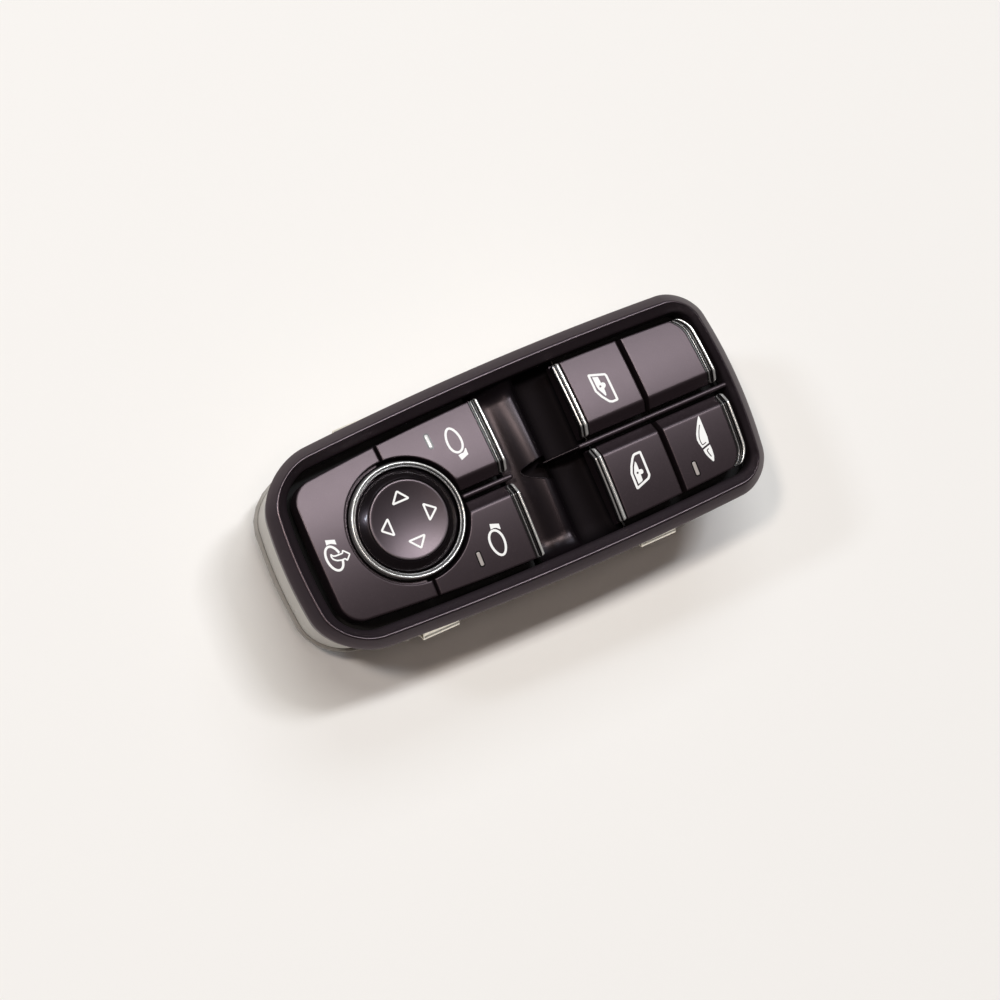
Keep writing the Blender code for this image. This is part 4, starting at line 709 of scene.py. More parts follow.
def dense(points: Sequence[Point2], closed: bool, step: float = 0.7) -> list[Point2]:
    """Return a line with points added where two of them lie far apart.

    Args:
        points: The line's points.
        closed: Whether the line is a loop.
        step: The greatest distance between neighbours.

    Returns:
        The points with those that were added.
    """
    ends = list(points[1:]) + ([points[0]] if closed else [])
    result: list[Point2] = []
    for (x, y), (u, v) in zip(points, ends):
        parts = max(1, math.ceil(math.hypot(u - x, v - y) / step))
        result += [(x + (u - x) * i / parts, y + (v - y) * i / parts) for i in range(parts)]
    return result if closed else result + [tuple(points[-1])]


def arc(centre: Point2, radius: float, start: float, stop: float, steps: int) -> list[Point2]:
    """Return points along an arc, between two angles in degrees."""
    angles = np.radians(np.linspace(start, stop, steps + 1))
    return [(centre[0] + radius * math.cos(a), centre[1] + radius * math.sin(a)) for a in angles]


def near_ends(length: float, radius: float, steps: int, middle: int) -> list[float]:
    """Return stations along an edge, close together near its rounded ends.

    Args:
        length: The edge's length.
        radius: The radius of the rounding at both ends.
        steps: The number of steps across each rounding.
        middle: The number of steps between the roundings.

    Returns:
        Shares of the length from 0 to 1.
    """
    rounding = [radius * (1 - math.cos(math.pi / 2 * i / steps)) for i in range(steps + 1)]
    inner = np.linspace(radius, length - radius, middle + 1)[1:-1]
    stations = rounding + list(inner) + [length - r for r in reversed(rounding)]
    return [station / length for station in stations]


# Shared places


class Row(Enum):
    """The two rows of keys, named for the side of the vehicle that they work."""

    RIGHT = 1
    LEFT = -1


@dataclass(frozen=True)
class Field:
    """The crowned field of keys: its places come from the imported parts, its curves are given."""

    half_length: float
    half_width: float
    crest: float
    joy_x: float
    well_x: float
    well_end: float
    front_tail: float
    rear_tail: float
    rear_lip: float
    fold_low: float
    widest: float = 14.0
    key_half_width: float = 22.5
    key_bow: float = 710.0
    side_bow: float = 1000.0
    end_bow: float = 140.0
    crown: float = 140.0
    rise: float = 0.3
    foot_y: float = 1.7
    chamfer_y: float = 4.5
    chamfer_drop: float = 2.4
    chamfer_round: float = 0.45
    rear_corner: float = 6.5
    key_height: float = 7.3
    joy_hole: float = 16.6
    seam: float = 0.35
    end_set: float = 0.3
    corner_left: float = 15.0
    corner_right: float = 9.5
    corner_least: float = 1.5

    @classmethod
    def read(cls) -> "Field":
        """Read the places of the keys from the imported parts.

        Returns:
            The field of this switch.
        """
        low, high = (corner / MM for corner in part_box("bezel"))
        ring_low, ring_high = (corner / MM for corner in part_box("joystick_ring"))
        return cls(
            half_length=high.x,
            half_width=high.y,
            crest=high.z,
            joy_x=(ring_low.x + ring_high.x) / 2,
            well_x=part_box("left_mirror_trim")[1].x / MM,
            well_end=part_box("front_right_trim")[0].x / MM,
            front_tail=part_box("front_right_key")[1].x / MM,
            rear_tail=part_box("rear_right_key")[0].x / MM,
            rear_lip=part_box("rear_right_trim")[1].x / MM,
            fold_low=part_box("mirror_fold_key")[0].x / MM + cls.end_set,
        )

    @property
    def face(self) -> float:
        """Return the height of the key faces on the centre line."""
        return self.crest + self.rise

    def crowned(self, y: float) -> float:
        """Return the crowned face's height at a place across the switch."""
        return self.face - y * y / (2 * self.crown)

    def top(self, x: float, y: float) -> float:
        """Find a key's face, which falls away towards the divider.

        Args:
            x: The place along the switch.
            y: The place across it.

        Returns:
            The face's height.
        """
        depth = (self.chamfer_y - abs(y)) / self.chamfer_round
        bend = self.chamfer_round * math.log1p(math.exp(min(depth * 4, 60.0))) / 4
        slope = self.chamfer_drop / (self.chamfer_y - self.foot_y)
        return self.crowned(max(abs(y), self.chamfer_y)) - slope * bend

    def flat_top(self, x: float, y: float) -> float:
        """Return the height of a face that has no fall towards the divider."""
        return self.crowned(y)

    def edge(self, x: float) -> float:
        """Return the outer edge of the key field."""
        return self.key_half_width - (x - self.widest) ** 2 / (2 * self.key_bow)

    def rear_lip_x(self, y: float) -> float:
        """Find the rounded end of the rear keys.

        Args:
            y: The place across the switch.

        Returns:
            The end's place along the switch.
        """
        over = max(abs(y) - (self.key_half_width - self.rear_corner), 0.0)
        end = self.rear_lip - y * y / (4 * self.end_bow)
        return end - self.rear_corner + math.sqrt(max(self.rear_corner**2 - over**2, 0.0))

    def outline(self, side: float, left: float, right: float, steps: int = 20) -> list[Point2]:
        """Return the bezel's outline, moved inwards.

        Args:
            side: The inset of the long sides.
            left: The inset of the mirror end.
            right: The inset of the window end.
            steps: The number of steps in each corner.

        Returns:
            Plan points, counter-clockwise.
        """
        low = -self.half_length + left
        high = self.half_length - right
        width = self.half_width - side
        r_left = max(self.corner_left - (side + left) / 2, self.corner_least)
        r_right = max(self.corner_right - (side + right) / 2, self.corner_least)
        along = np.linspace(high - r_right, low + r_left, 3 * steps)[1:-1]
        across = np.linspace(1, -1, steps)[1:-1]
        points = arc((high - r_right, width - r_right), r_right, 0, 90, steps)
        points += [(x, width) for x in along]
        points += arc((low + r_left, width - r_left), r_left, 90, 180, steps)
        points += [(low, y * (width - r_left)) for y in across]
        points += arc((low + r_left, -width + r_left), r_left, 180, 270, steps)
        points += [(x, -width) for x in along[::-1]]
        points += arc((high - r_right, -width + r_right), r_right, 270, 360, steps)
        points += [(high, -y * (width - r_right)) for y in across]
        return [self.bow(x, y) for x, y in points]

    def bow(self, x: float, y: float) -> Point2:
        """Bend a straight-sided outline to the barrel sides and bowed ends.

        Args:
            x: The place along the switch.
            y: The place across it.

        Returns:
            The bent point.
        """
        side = (x - self.widest) ** 2 / (2 * self.side_bow)
        end = y * y / (2 * self.end_bow)
        return (x * (1 - end / self.half_length), y * (1 - side / self.half_width))


def curl_in(loop: Sequence[Point2], distance: float) -> list[Point2]:
    """Move a closed plan loop inwards along its own normals.

    Args:
        loop: The plan points in order; equal neighbours are allowed.
        distance: The way that each point moves.

    Returns:
        As many points.
    """
    points = np.array(loop)
    count = len(points)
    x, y = points[:, 0], points[:, 1]
    turn = math.copysign(1.0, float(np.sum(x * np.roll(y, -1) - np.roll(x, -1) * y)))
    moved: list[Point2] = []
    for i in range(count):
        before = i - 1
        while np.allclose(points[before], points[i], atol=1e-4):
            before -= 1
        after = (i + 1) % count
        while np.allclose(points[after], points[i], atol=1e-4):
            after = (after + 1) % count
        first = points[i] - points[before]
        second = points[after] - points[i]
        first /= np.linalg.norm(first)
        second /= np.linalg.norm(second)
        normal = np.array((-(first[1] + second[1]), first[0] + second[0])) * turn
        normal /= max(np.linalg.norm(normal), 1e-6)
        lean = max(float(normal @ (np.array((-second[1], second[0])) * turn)), 0.5)
        moved.append(tuple(points[i] + normal * distance / lean))
    return moved


def to_border(points: np.ndarray, border: Sequence[Point2]) -> np.ndarray:
    """Measure how far points lie from a closed plan line.

    Args:
        points: The points, one in each row.
        border: The line's points in order.

    Returns:
        The distances.
    """
    start = np.array(border)
    step = np.roll(start, -1, axis=0) - start
    square = np.maximum((step**2).sum(1), 1e-12)
    away = points[:, None, :] - start[None, :, :]
    share = np.clip((away * step[None, :, :]).sum(2) / square, 0.0, 1.0)
    gap = away - share[..., None] * step[None, :, :]
    return np.sqrt((gap**2).sum(2)).min(1)


def revolve(skin: Skin, profile: Sequence[Point2], centre: float, steps: int = 128,
            slots: Sequence[int] = (), cyclic: bool = False) -> None:
    """Turn a profile about an upright axis on the centre line.

    Args:
        skin: The shell that takes the faces.
        profile: Radius and height pairs.
        centre: The axis's place along the switch.
        steps: The number of steps round the axis.
        slots: The material slot of each band.
        cyclic: Whether the profile closes on itself.
    """
    turns = [2 * math.pi * i / steps for i in range(steps)]
    rings = [[(centre + r * math.cos(a), r * math.sin(a), z) for a in turns] for r, z in profile]
    skin.loft(rings, cyclic, slots)


# Bezel


@dataclass
class Bezel:
    """The rim, its finger well with the leaf-shaped pocket, and the divider ribs."""

    field: Field
    body: str = "base"
    material_slot: str = "bezel_plastic"
    crest_inset: float = 2.7
    slope_side: float = 3.2
    slope_left: float = 3.4
    slope_right: float = 1.4
    wall: float = 1.4
    skirt_drop: float = 10.0
    field_foot: float = 35.0
    roll_drop: float = 5.0
    well_drop: float = 12.5
    roll_start: float = 2.0
    roll_length: float = 10.8
    well_wall: float = 22.0
    bowl_round: float = 5.0
    bowl_rise: Point2 = (0.8, 3.4)
    bowl_drop: float = 3.1
    leaf_start: float = 2.7
    leaf_near: float = 2.0
    leaf_far: float = 5.4
    roll_crown: float = 130.0
    rib_half: float = 0.65
    rib_drop: float = 2.6

    @property
    def roll_z(self) -> float:
        """Return the height of the roll's top."""
        return self.field.crest - self.roll_drop

    @property
    def floor_z(self) -> float:
        """Return the height of the well's floor."""
        return self.field.crest - self.well_drop

    @property
    def roll_x(self) -> float:
        """Return where the roll starts."""
        return self.field.well_x + self.roll_start

    def ring(self, inset: float, share: float, z: float) -> list[Point3]:
        """Return a loop of the rim.

        Args:
            inset: The inset from the outer edge.
            share: The share of the inner slope that is added to it.
            z: The loop's height.

        Returns:
            The loop's points.
        """
        side = inset + self.slope_side * share
        left = inset + self.slope_left * share
        right = inset + self.slope_right * share
        return [(x, y, z) for x, y in self.field.outline(side, left, right, 24)]

    def rim(self) -> bpy.types.Object:
        """Build the rim from its skirt over the crest and down the inner slope.

        Returns:
            The rim.
        """
        top = self.field.crest
        flank = [(0.90, 0.0, -3.55), (0.45, 0.0, -3.42), (0.14, 0.0, -3.25), (0.03, 0.0, -3.02),
                 (0.13, 0.0, -2.78), (0.42, 0.0, -2.40), (0.98, 0.0, -1.76), (1.52, 0.0, -1.20),
                 (1.98, 0.0, -0.74), (2.30, 0.0, -0.43), (2.56, 0.0, -0.19)]
        edge = [(2.80, 0.0, -0.05), (3.04, 0.0, -0.01)]
        slope = [(2.7, 0.18, -0.09), (2.7, 0.25, -0.30), (2.7, 0.36, -0.68), (2.7, 0.52, -1.16),
                 (2.7, 0.70, -1.68), (2.7, 0.85, -2.16), (2.7, 0.94, -2.55), (2.7, 0.985, -2.95),
                 (2.7, 1.0, -3.4)]
        visible = through(flank + edge + slope, 3)
        foot = self.field_foot
        skirt = top - self.skirt_drop
        levels = [(1.45, 0.0, skirt), (1.32, 0.0, skirt + 0.12), (1.26, 0.0, skirt + 1.5),
                  (0.92, 0.0, top - 3.6)]
        levels += [(inset, share, top + dz) for inset, share, dz in visible]
        levels += [(2.7, 1.0, foot + 0.3), (2.58, 1.0, foot), (1.3, 1.0, foot),
                   (1.3, 1.0, top - 4.0), (2.8, 0.0, top - 4.2), (2.8, 0.0, skirt)]
        skin = Skin()
        skin.loft([self.ring(*level) for level in levels], cyclic=True)
        return skin.piece("bezel_rim", BEZEL, self.body, self.material_slot, 50.0)

    def well_profile(self) -> list[Point2]:
        """Lay out the well's section, from the mirror keys to the far wall.

        Returns:
            Places along the switch, each with its height.
        """
        roll, floor, start = self.roll_z, self.floor_z, self.roll_x
        end = start + self.roll_length
        far = self.well_wall
        points = [(self.field.well_x + 0.3, roll - 3.8), (self.field.well_x + 1.2, roll - 3.5)]
        for share, drop in ((0.06, 3.05), (0.18, 2.55), (0.31, 1.80), (0.45, 0.98), (0.58, 0.36),
                            (0.69, 0.04), (0.79, 0.10), (0.875, 0.70), (0.945, 1.85), (1.0, 3.5)):
            points.append((start + self.roll_length * share, roll - drop))
        points += [(end + 0.30, roll - 5.0), (end + 0.75, floor + 1.3), (end + 1.6, floor + 0.5),
                   (end + 2.8, floor + 0.08), (end + 4.2, floor), (far - 3.4, floor),
                   (far - 1.6, floor + 0.15), (far - 0.55, floor + 0.9), (far - 0.1, floor + 2.0),
                   (far, floor + 3.2)]
        return through(points, 4)

    def crown_drop(self, y: float, level: float) -> float:
        """Return how far the roll falls away across the switch, for its middle height."""
        share = (level - self.floor_z) / (self.roll_z - self.floor_z)
        return y * y / (2 * self.roll_crown) * min(max(share, 0.0), 1.0)

    def well(self) -> None:
        """Build the roll and the two finger wells with rounded sides."""
        half = self.field.half_width - self.crest_inset - self.slope_side
        wide = self.bowl_round
        top: list[list[Point3]] = []
        under: list[list[Point3]] = []
        for x, level in self.well_profile():
            wall = self.field.bow(x, half)[1] + 0.02
            z = level - self.crown_drop(wall - wide, level)
            rise = (self.field.crest - self.bowl_drop - z) * 0.9
            rise = min(max(rise, self.bowl_rise[0]), self.bowl_rise[1])
            turns = np.linspace(0.0, math.pi / 2, 13)
            fillet = [(wall - wide + wide * math.sin(a), z + rise * (1 - math.cos(a)))
                      for a in turns]
            high = max(z + rise, self.field_foot + 1.2)
            edge = fillet + [(wall + 0.02, high), (wall + 0.45, high)]
            flat = [(y, level - self.crown_drop(y, level))
                    for y in np.linspace(0.0, wall - wide, 25)[:-1]]
            row = flat + edge
            top.append([(x, -y, h) for y, h in row[:0:-1]] + [(x, y, h) for y, h in row])
            low = [(y, z - self.wall) for y, _ in row]
            under.append([(x, -y, h) for y, h in low[:0:-1]] + [(x, y, h) for y, h in low])
        skin = Skin()
        upper = [skin.ring(row) for row in top]
        lower = [skin.ring(row) for row in under]
        # The floor past the roll takes the darker finish as painted shade.
        shade_start = self.roll_x + self.roll_length
        for i, (a, b) in enumerate(zip(upper, upper[1:])):
            skin.bridge(a, b, False, 1 if top[i][0][0] >= shade_start else 0)
        for a, b in zip(lower, lower[1:]):
            skin.bridge(b, a, False, 1)
        for i in (0, -1):
            skin.bridge(upper[i], lower[i], False)
            side = [row[i] for row in upper]
            skin.bridge(side, [row[i] for row in lower], False)
        basin = skin.blank("finger_well", (WELL, WELL_SHADE))
        cut(basin, self.leaf_cutter())
        settle(basin, self.body, 50.0)

    def leaf_side(self, share: float, far: bool, margin: float = 0.0) -> Point2:
        """Find a point on the edge of the leaf-shaped pocket.

        Args:
            share: The share of the way from the tip to the well.
            far: Whether the point is on the wide side.
            margin: How far outside the edge it lies.

        Returns:
            The plan point.
        """
        tip = self.roll_x + self.leaf_start - margin
        x = tip + (self.roll_x + self.roll_length + 0.4 - tip) * share
        y = -self.leaf_far * share**0.62 - margin if far else self.leaf_near * share**0.5 + margin
        return (x, y if share > 0 else 0.0)

    def leaf_edge(self, margin: float = 0.0, steps: int = 24) -> list[Point2]:
        """Follow the pocket's edge from the well round the tip and back.

        Args:
            margin: How far outside the edge the line lies.
            steps: The number of steps on each side.

        Returns:
            Plan points.
        """
        shares = [(i / steps) ** 2 for i in range(steps + 1)]
        near = [self.leaf_side(t, False, margin) for t in reversed(shares)]
        return near + [self.leaf_side(t, True, margin) for t in shares[1:]]

    def leaf_cutter(self) -> bpy.types.Object:
        """Build the solid that opens the roll over the pocket.

        Returns:
            The solid, which rides on no body.
        """
        edge = self.leaf_edge()
        end = self.roll_x + self.roll_length + 0.05
        loop = [(min(x, end), y) for x, y in edge]
        skin = Skin()
        skin.loft([[(x, y, z) for x, y in loop] for z in (self.floor_z + 0.02, self.field.crest)])
        return skin.blank("leaf_cutter")

    def roll_height(self, x: float, y: float) -> float:
        """Find the roll's face at a plan point.

        Args:
            x: The place along the switch.
            y: The place across it.

        Returns:
            Its height.
        """
        profile = self.well_profile()
        level = float(np.interp(x, [p[0] for p in profile], [p[1] for p in profile]))
        return level - self.crown_drop(y, level)

    def pocket(self) -> None:
        """Build the pocket's wall and floor below the roll."""
        skin = Skin()
        low = self.floor_z - self.wall
        inner = self.leaf_edge()
        outer = self.leaf_edge(0.9)
        sections = []
        for (x, y), (u, v) in zip(inner, outer):
            high = min(self.roll_height(x, y), self.roll_height(u, v)) - 0.35
            sections.append([(x, y, low), (x, y, high), (u, v, high - 0.2), (u, v, low)])
        skin.sweep(sections)
        skin.loft([[(x, y, z) for x, y in outer] for z in (low, self.floor_z - 0.02)])
        # The pocket is coloured with painted shade.
        skin.piece("leaf_pocket", WELL_SHADE, self.body, self.material_slot, 50.0)

    def lip(self) -> None:
        """Build the rounded lip that runs along the pocket's edge."""
        inner = [point for point in self.leaf_edge(0.0, 40) if point[0] < self.roll_x + 10.1]
        outer = curl_in(inner, -0.30)
        sections = []
        for i, ((x, y), (u, v)) in enumerate(zip(inner, outer)):
            taper = min(1.0, (min(i, len(inner) - 1 - i) + 0.3) / 5)
            z = self.roll_height(x, y)
            section = []
            for turn in np.linspace(0, 2 * math.pi, 10, endpoint=False):
                share = 0.5 + 0.5 * math.cos(turn)
                rise = 0.20 * taper * math.sin(turn)
                section.append((x + (u - x) * share, y + (v - y) * share, z + rise - 0.02))
            sections.append(section)
        skin = Skin()
        skin.sweep(sections)
        skin.piece("leaf_lip", WELL, self.body, self.material_slot, 60.0)

    def rib(self, name: str, low_x: float, high_x: float, low_z: float) -> None:
        """Build a divider rib with a rounded top and rounded ends.

        Args:
            name: The piece's name.
            low_x: Where it starts.
            high_x: Where it ends.
            low_z: Its lower edge.
        """
        top = self.field.crest - self.rib_drop
        half = self.rib_half
        skin = Skin()
        rings = []
        for inset, z in [(0.0, low_z), (0.0, top - half)] + [
                (half * (1 - math.cos(a)), top - half + half * math.sin(a))
                for a in np.linspace(0.2, math.pi / 2 - 0.06, 7)]:
            radius = half - inset
            loop = arc((high_x - half, 0.0), radius, -90, 90, 12)
            loop += [(x, radius) for x in np.linspace(high_x - half, low_x + half, 30)[1:-1]]
            loop += arc((low_x + half, 0.0), radius, 90, 270, 12)
            loop += [(x, -radius) for x in np.linspace(low_x + half, high_x - half, 30)[1:-1]]
            rings.append([(x, y, z) for x, y in loop])
        skin.loft(rings)
        skin.piece(name, BEZEL, self.body, self.material_slot, 50.0)

    def web(self) -> None:
        """Build the thin web between the two wells, whose top climbs to the rib."""
        start = self.roll_x + self.roll_length * 0.86
        stop = self.field.well_end + 0.4
        top = self.field.crest - self.rib_drop
        skin = Skin()
        sections = []
        for share in np.linspace(0.0, 1.0, 24):
            x = start + (stop - start) * share
            half = 0.30 + 0.22 * share
            z = top - 3.9 * (1 - share) ** 1.15 - 0.15
            curve = [(half * math.cos(a), z - half + half * math.sin(a))
                     for a in np.linspace(0.0, math.pi, 9)]
            low = self.floor_z - 0.7
            sections.append([(x, y, h) for y, h in curve] + [(x, -half, low), (x, half, low)])
        skin.sweep(sections)
        skin.piece("divider_web", WELL, self.body, self.material_slot, 50.0)

    def build(self) -> None:
        """Build all of the bezel's pieces and hide the plain node."""
        rim = self.rim()
        self.well()
        self.pocket()
        self.lip()
        field = self.field
        joint = field.joy_x + field.joy_hole
        end = field.half_length - self.crest_inset - self.slope_right + 0.6
        self.rib("divider_rib_left", joint, field.well_x + 1.0, self.field_foot)
        self.rib("divider_rib_right", field.well_end - 1.5, end, self.field_foot)
        self.web()
        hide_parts("bezel")


# Keys


@dataclass
class Key:
    """A hollow key cap with rounded edges and a chrome lip, or the parts of one."""

    field: Field
    name: str
    body: str
    foot: float = 36.0
    wall: float = 1.3
    roof: float = 1.6
    rounding: float = 0.32
    face_set: float = 2.6

    def height(self, x: float, y: float) -> float:
        """Return the face's height before its edges are rounded."""
        return self.field.top(x, y)

    def rounded(self, x: np.ndarray, y: np.ndarray, border: Sequence[Point2]) -> np.ndarray:
        """Round off the edges of a face.

        Args:
            x: The points' places along the switch.
            y: Their places across it.
            border: The face's closed border.

        Returns:
            The points' heights.
        """
        size = self.rounding
        gap = np.minimum(to_border(np.stack((x, y), 1), border), size)
        drop = size - np.sqrt(np.maximum(size**2 - (size - gap) ** 2, 0.0))
        plain = np.array([self.height(float(a), float(b)) for a, b in zip(x, y)])
        return plain - drop

    def cap(self, grid: Sequence[Sequence[Point3]]) -> None:
        """Close a grid of face points into a hollow cap.

        Args:
            grid: Rows of face points.
        """
        skin = Skin()
        rows = [skin.ring(row) for row in grid]
        for a, b in zip(rows, rows[1:]):
            skin.bridge(a, b, False)
        loop = rows[0] + [row[-1] for row in rows[1:-1]]
        loop += rows[-1][::-1] + [row[0] for row in rows[-2:0:-1]]
        edge = [skin.points[i] for i in loop]
        plan = [(x, y) for x, y, _ in edge]
        inner = curl_in(plan, self.wall)
        roof = [(u, v, min(z, self.height(u, v)) - self.roof)
                for (u, v), (_, _, z) in zip(inner, edge)]
        low = skin.ring([(x, y, self.foot) for x, y in plan])
        inside = skin.ring([(x, y, self.foot) for x, y in inner])
        ceiling = skin.ring(roof)
        skin.bridge(loop, low)
        skin.bridge(low, inside)
        skin.bridge(inside, ceiling)
        skin.cap(ceiling)
        made = skin.piece(self.name + "_cap", KEYS, self.body, "key_plastic", 40.0)
        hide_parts(self.name + "_key")


@dataclass
class LippedKey(Key):
    """A key of one row, with a chrome lip on one end."""

    row: Row = Row.RIGHT
    direction: float = 1.0
    bead_inside: bool = False
    bead_round: float = 0.55

    def lip(self, y: float) -> float:
        """Return the lip's place along the switch."""
        return self.field.well_end

    def seam(self, y: float) -> float:
        """Return the place of the end that faces the next key."""
        return self.field.front_tail

    def near(self, x: float) -> float:
        """Return the key's edge by the divider, without its sign."""
        return self.field.foot_y

    def far(self, x: float) -> float:
        """Return the key's outer edge, without its sign."""
        return self.field.edge(x)

    def place(self, u: float, v: float, inset: float) -> Point2:
        """Find a plan point of the key.

        Args:
            u: The share of the way from the lip end to the seam.
            v: The share of the way from the divider to the outer edge.
            inset: How far inside the lip the first column lies.

        Returns:
            The point, on the +Y side.
        """
        y = self.near(self.lip(0.0)) + v * (self.far(self.lip(12.0)) - self.near(self.lip(0.0)))
        for _ in range(3):
            start = self.lip(y) + self.direction * inset
            x = start + u * (self.seam(y) - start)
            y = self.near(x) + v * (self.far(x) - self.near(x))
        return (x, y)

    def columns(self) -> list[float]:
        """Return the face columns as shares from the lip end to the seam."""
        return near_ends(abs(self.seam(10.0) - self.lip(10.0)) - self.face_set, 0.9, 6, 24)

    def rows(self) -> list[float]:
        """Return the face rows as shares from the divider to the outer edge."""
        return near_ends(self.field.key_half_width - self.field.foot_y, 0.9, 6, 44)

    def face_grid(self) -> list[list[Point3]]:
        """Lay out the face with the stepped shelf under the lip.

        Returns:
            Rows of points, from the divider outwards.
        """
        side = self.row.value
        columns, rows = self.columns(), self.rows()
        plan = [[self.place(u, v, self.face_set) for u in columns] for v in rows]
        border = plan[0] + [row[-1] for row in plan[1:-1]] + plan[-1][::-1]
        border += [row[0] for row in plan[-2:0:-1]]
        flat = np.array([point for row in plan for point in row])
        heights = self.rounded(flat[:, 0], flat[:, 1], border).reshape(len(rows), len(columns))
        grid = []
        for i, v in enumerate(rows):
            shelf = []
            for inset, drop in ((0.3, 2.7), (1.6, 2.7), (1.6, 1.75), (self.face_set, 1.75)):
                x, y = self.place(0.0, v, inset)
                shelf.append((x, side * y, self.height(x, y) - drop))
            face = [(x, side * y, heights[i][j]) for j, (x, y) in enumerate(plan[i])]
            grid.append(shelf + face)
        return grid

    def trim_profile(self) -> tuple[list[Point2], list[int]]:
        """Draw the trim's section, inwards and up from the lip.

        Returns:
            The section's points, and the material slot of each strip.
        """
        # Slot 0 is bright chrome; slot 1 paints the valley and hidden faces black as painted shade;
        # slot 2 is chrome darkened as painted shade.
        if self.bead_inside:
            bead = arc((1.86, -0.22), 0.40, 168, 2, 12)
            outer = through([(0.02, -1.80), (0.02, -1.50), (0.20, -1.12), (0.52, -0.78),
                             (0.72, -0.66), (0.92, -0.58), (1.20, -0.42), (1.42, -0.30)], 3)
            points = [(0.6, -2.4), (0.12, -2.1)] + outer + bead
            points += [(2.3, -1.35), (1.4, -1.4), (1.3, -2.4)]
            slots = [1] * 11 + [2] * 6 + [1] * 6 + [0] * len(bead) + [1] * 5
        else:
            bead = arc((0.42, -0.30), 0.34, 190, 10, 12)
            valley = through([(0.77, -0.42), (0.92, -0.78), (1.24, -0.90), (1.56, -0.74),
                              (1.78, -0.60), (1.94, -0.72), (1.98, -1.05)], 3)
            points = [(0.3, -2.4), (0.07, -1.9), (0.07, -1.0)] + bead + valley
            shelf = [(2.00, -1.12), (2.34, -1.15), (2.34, -1.6), (1.3, -1.6), (1.2, -2.4)]
            slots = [0] * (2 + len(bead)) + [1] * 10 + [2] * (len(valley) - 10)
            slots += [1] * (len(shelf) + 1)
            points += shelf
        return points, slots

    def trim(self) -> None:
        """Build the chrome lip, whose bead has rounded ends."""
        profile, slots = self.trim_profile()
        side = self.row.value
        shares = near_ends(self.field.key_half_width - self.field.foot_y, self.bead_round, 7, 90)
        low = self.near(self.lip(0.0)) + 0.05
        high = self.far(self.place(0.0, 1.0, 0.3)[0]) + 0.02
        middle = (1.5, -0.9) if self.bead_inside else (0.9, -0.9)
        sections = []
        for share in shares:
            y = low + share * (high - low)
            gap = min(y - low, high - y)
            tail = max(1.0 - gap / self.bead_round, 0.0)
            size = math.sqrt(max(1.0 - tail**2, 0.0)) * 0.93 + 0.07
            base = self.lip(y)
            section = []
            for u, w in profile:
                inward = middle[0] + (u - middle[0]) * size
                rise = middle[1] + (w - middle[1]) * size
                x = base + self.direction * inward
                section.append((x, side * y, self.height(x, y) + rise))
            sections.append(section)
        skin = Skin()
        skin.sweep(sections, slots)
        finishes = (CHROME, BLACK_FRAME_AND_SHADE, SHADE_CHROME)
        made = skin.piece(self.name + "_chrome_lip", finishes, self.body, "chrome", 50.0)
        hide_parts(self.name + "_trim")

    def build(self) -> None:
        """Build the cap and its chrome lip."""
        self.cap(self.face_grid())
        self.trim()


@dataclass
class FrontKey(LippedKey):
    """A front window key, whose lip stands over the finger well."""

    bead_inside: bool = True


@dataclass
class RearKey(LippedKey):
    """A rear window key, whose lip follows the rounded end of the field."""

    direction: float = -1.0

    def lip(self, y: float) -> float:
        """Return the lip's place along the switch, on the field's rounded end."""
        return self.field.rear_lip_x(y)

    def seam(self, y: float) -> float:
        """Return the place of the seam to the front key."""
        return self.field.rear_tail


@dataclass
class SelectKey(LippedKey):
    """A mirror side key, cut round by the joystick and lipped over the roll."""

    direction: float = -1.0

    def lip(self, y: float) -> float:
        """Return the lip's place along the switch."""
        return self.field.well_x

    def seam(self, y: float) -> float:
        """Return the place of the seam to the fold key."""
        return self.field.joy_x + self.field.seam

    def near(self, x: float) -> float:
        """Return the key's edge by the divider or the joystick, without its sign."""
        reach = self.field.joy_hole**2 - (x - self.field.joy_x) ** 2
        return max(self.field.foot_y, math.sqrt(max(reach, 0.0)))

    def columns(self) -> list[float]:
        """Crowd the columns where the joystick's circle meets the divider.

        Returns:
            Shares from the lip end to the seam.
        """
        start = self.field.well_x - self.face_set
        length = start - self.seam(0.0)
        meet = self.field.joy_x + math.sqrt(self.field.joy_hole**2 - self.field.foot_y**2)
        straight = near_ends(start - meet, 0.7, 6, 14)
        shares = [share * (start - meet) / length for share in straight]
        low = math.asin(self.field.foot_y / self.field.joy_hole)
        high = math.acos(self.field.seam / self.field.joy_hole)
        for turn in np.linspace(low, high, 44)[1:]:
            x = self.field.joy_x + self.field.joy_hole * math.cos(turn)
            shares.append((start - x) / length)
        tail = [0.62, 0.36, 0.16, 0.04]
        shares[-1:] = [1.0 - gap / length for gap in tail] + [1.0]
        return sorted(set(round(share, 6) for share in shares))


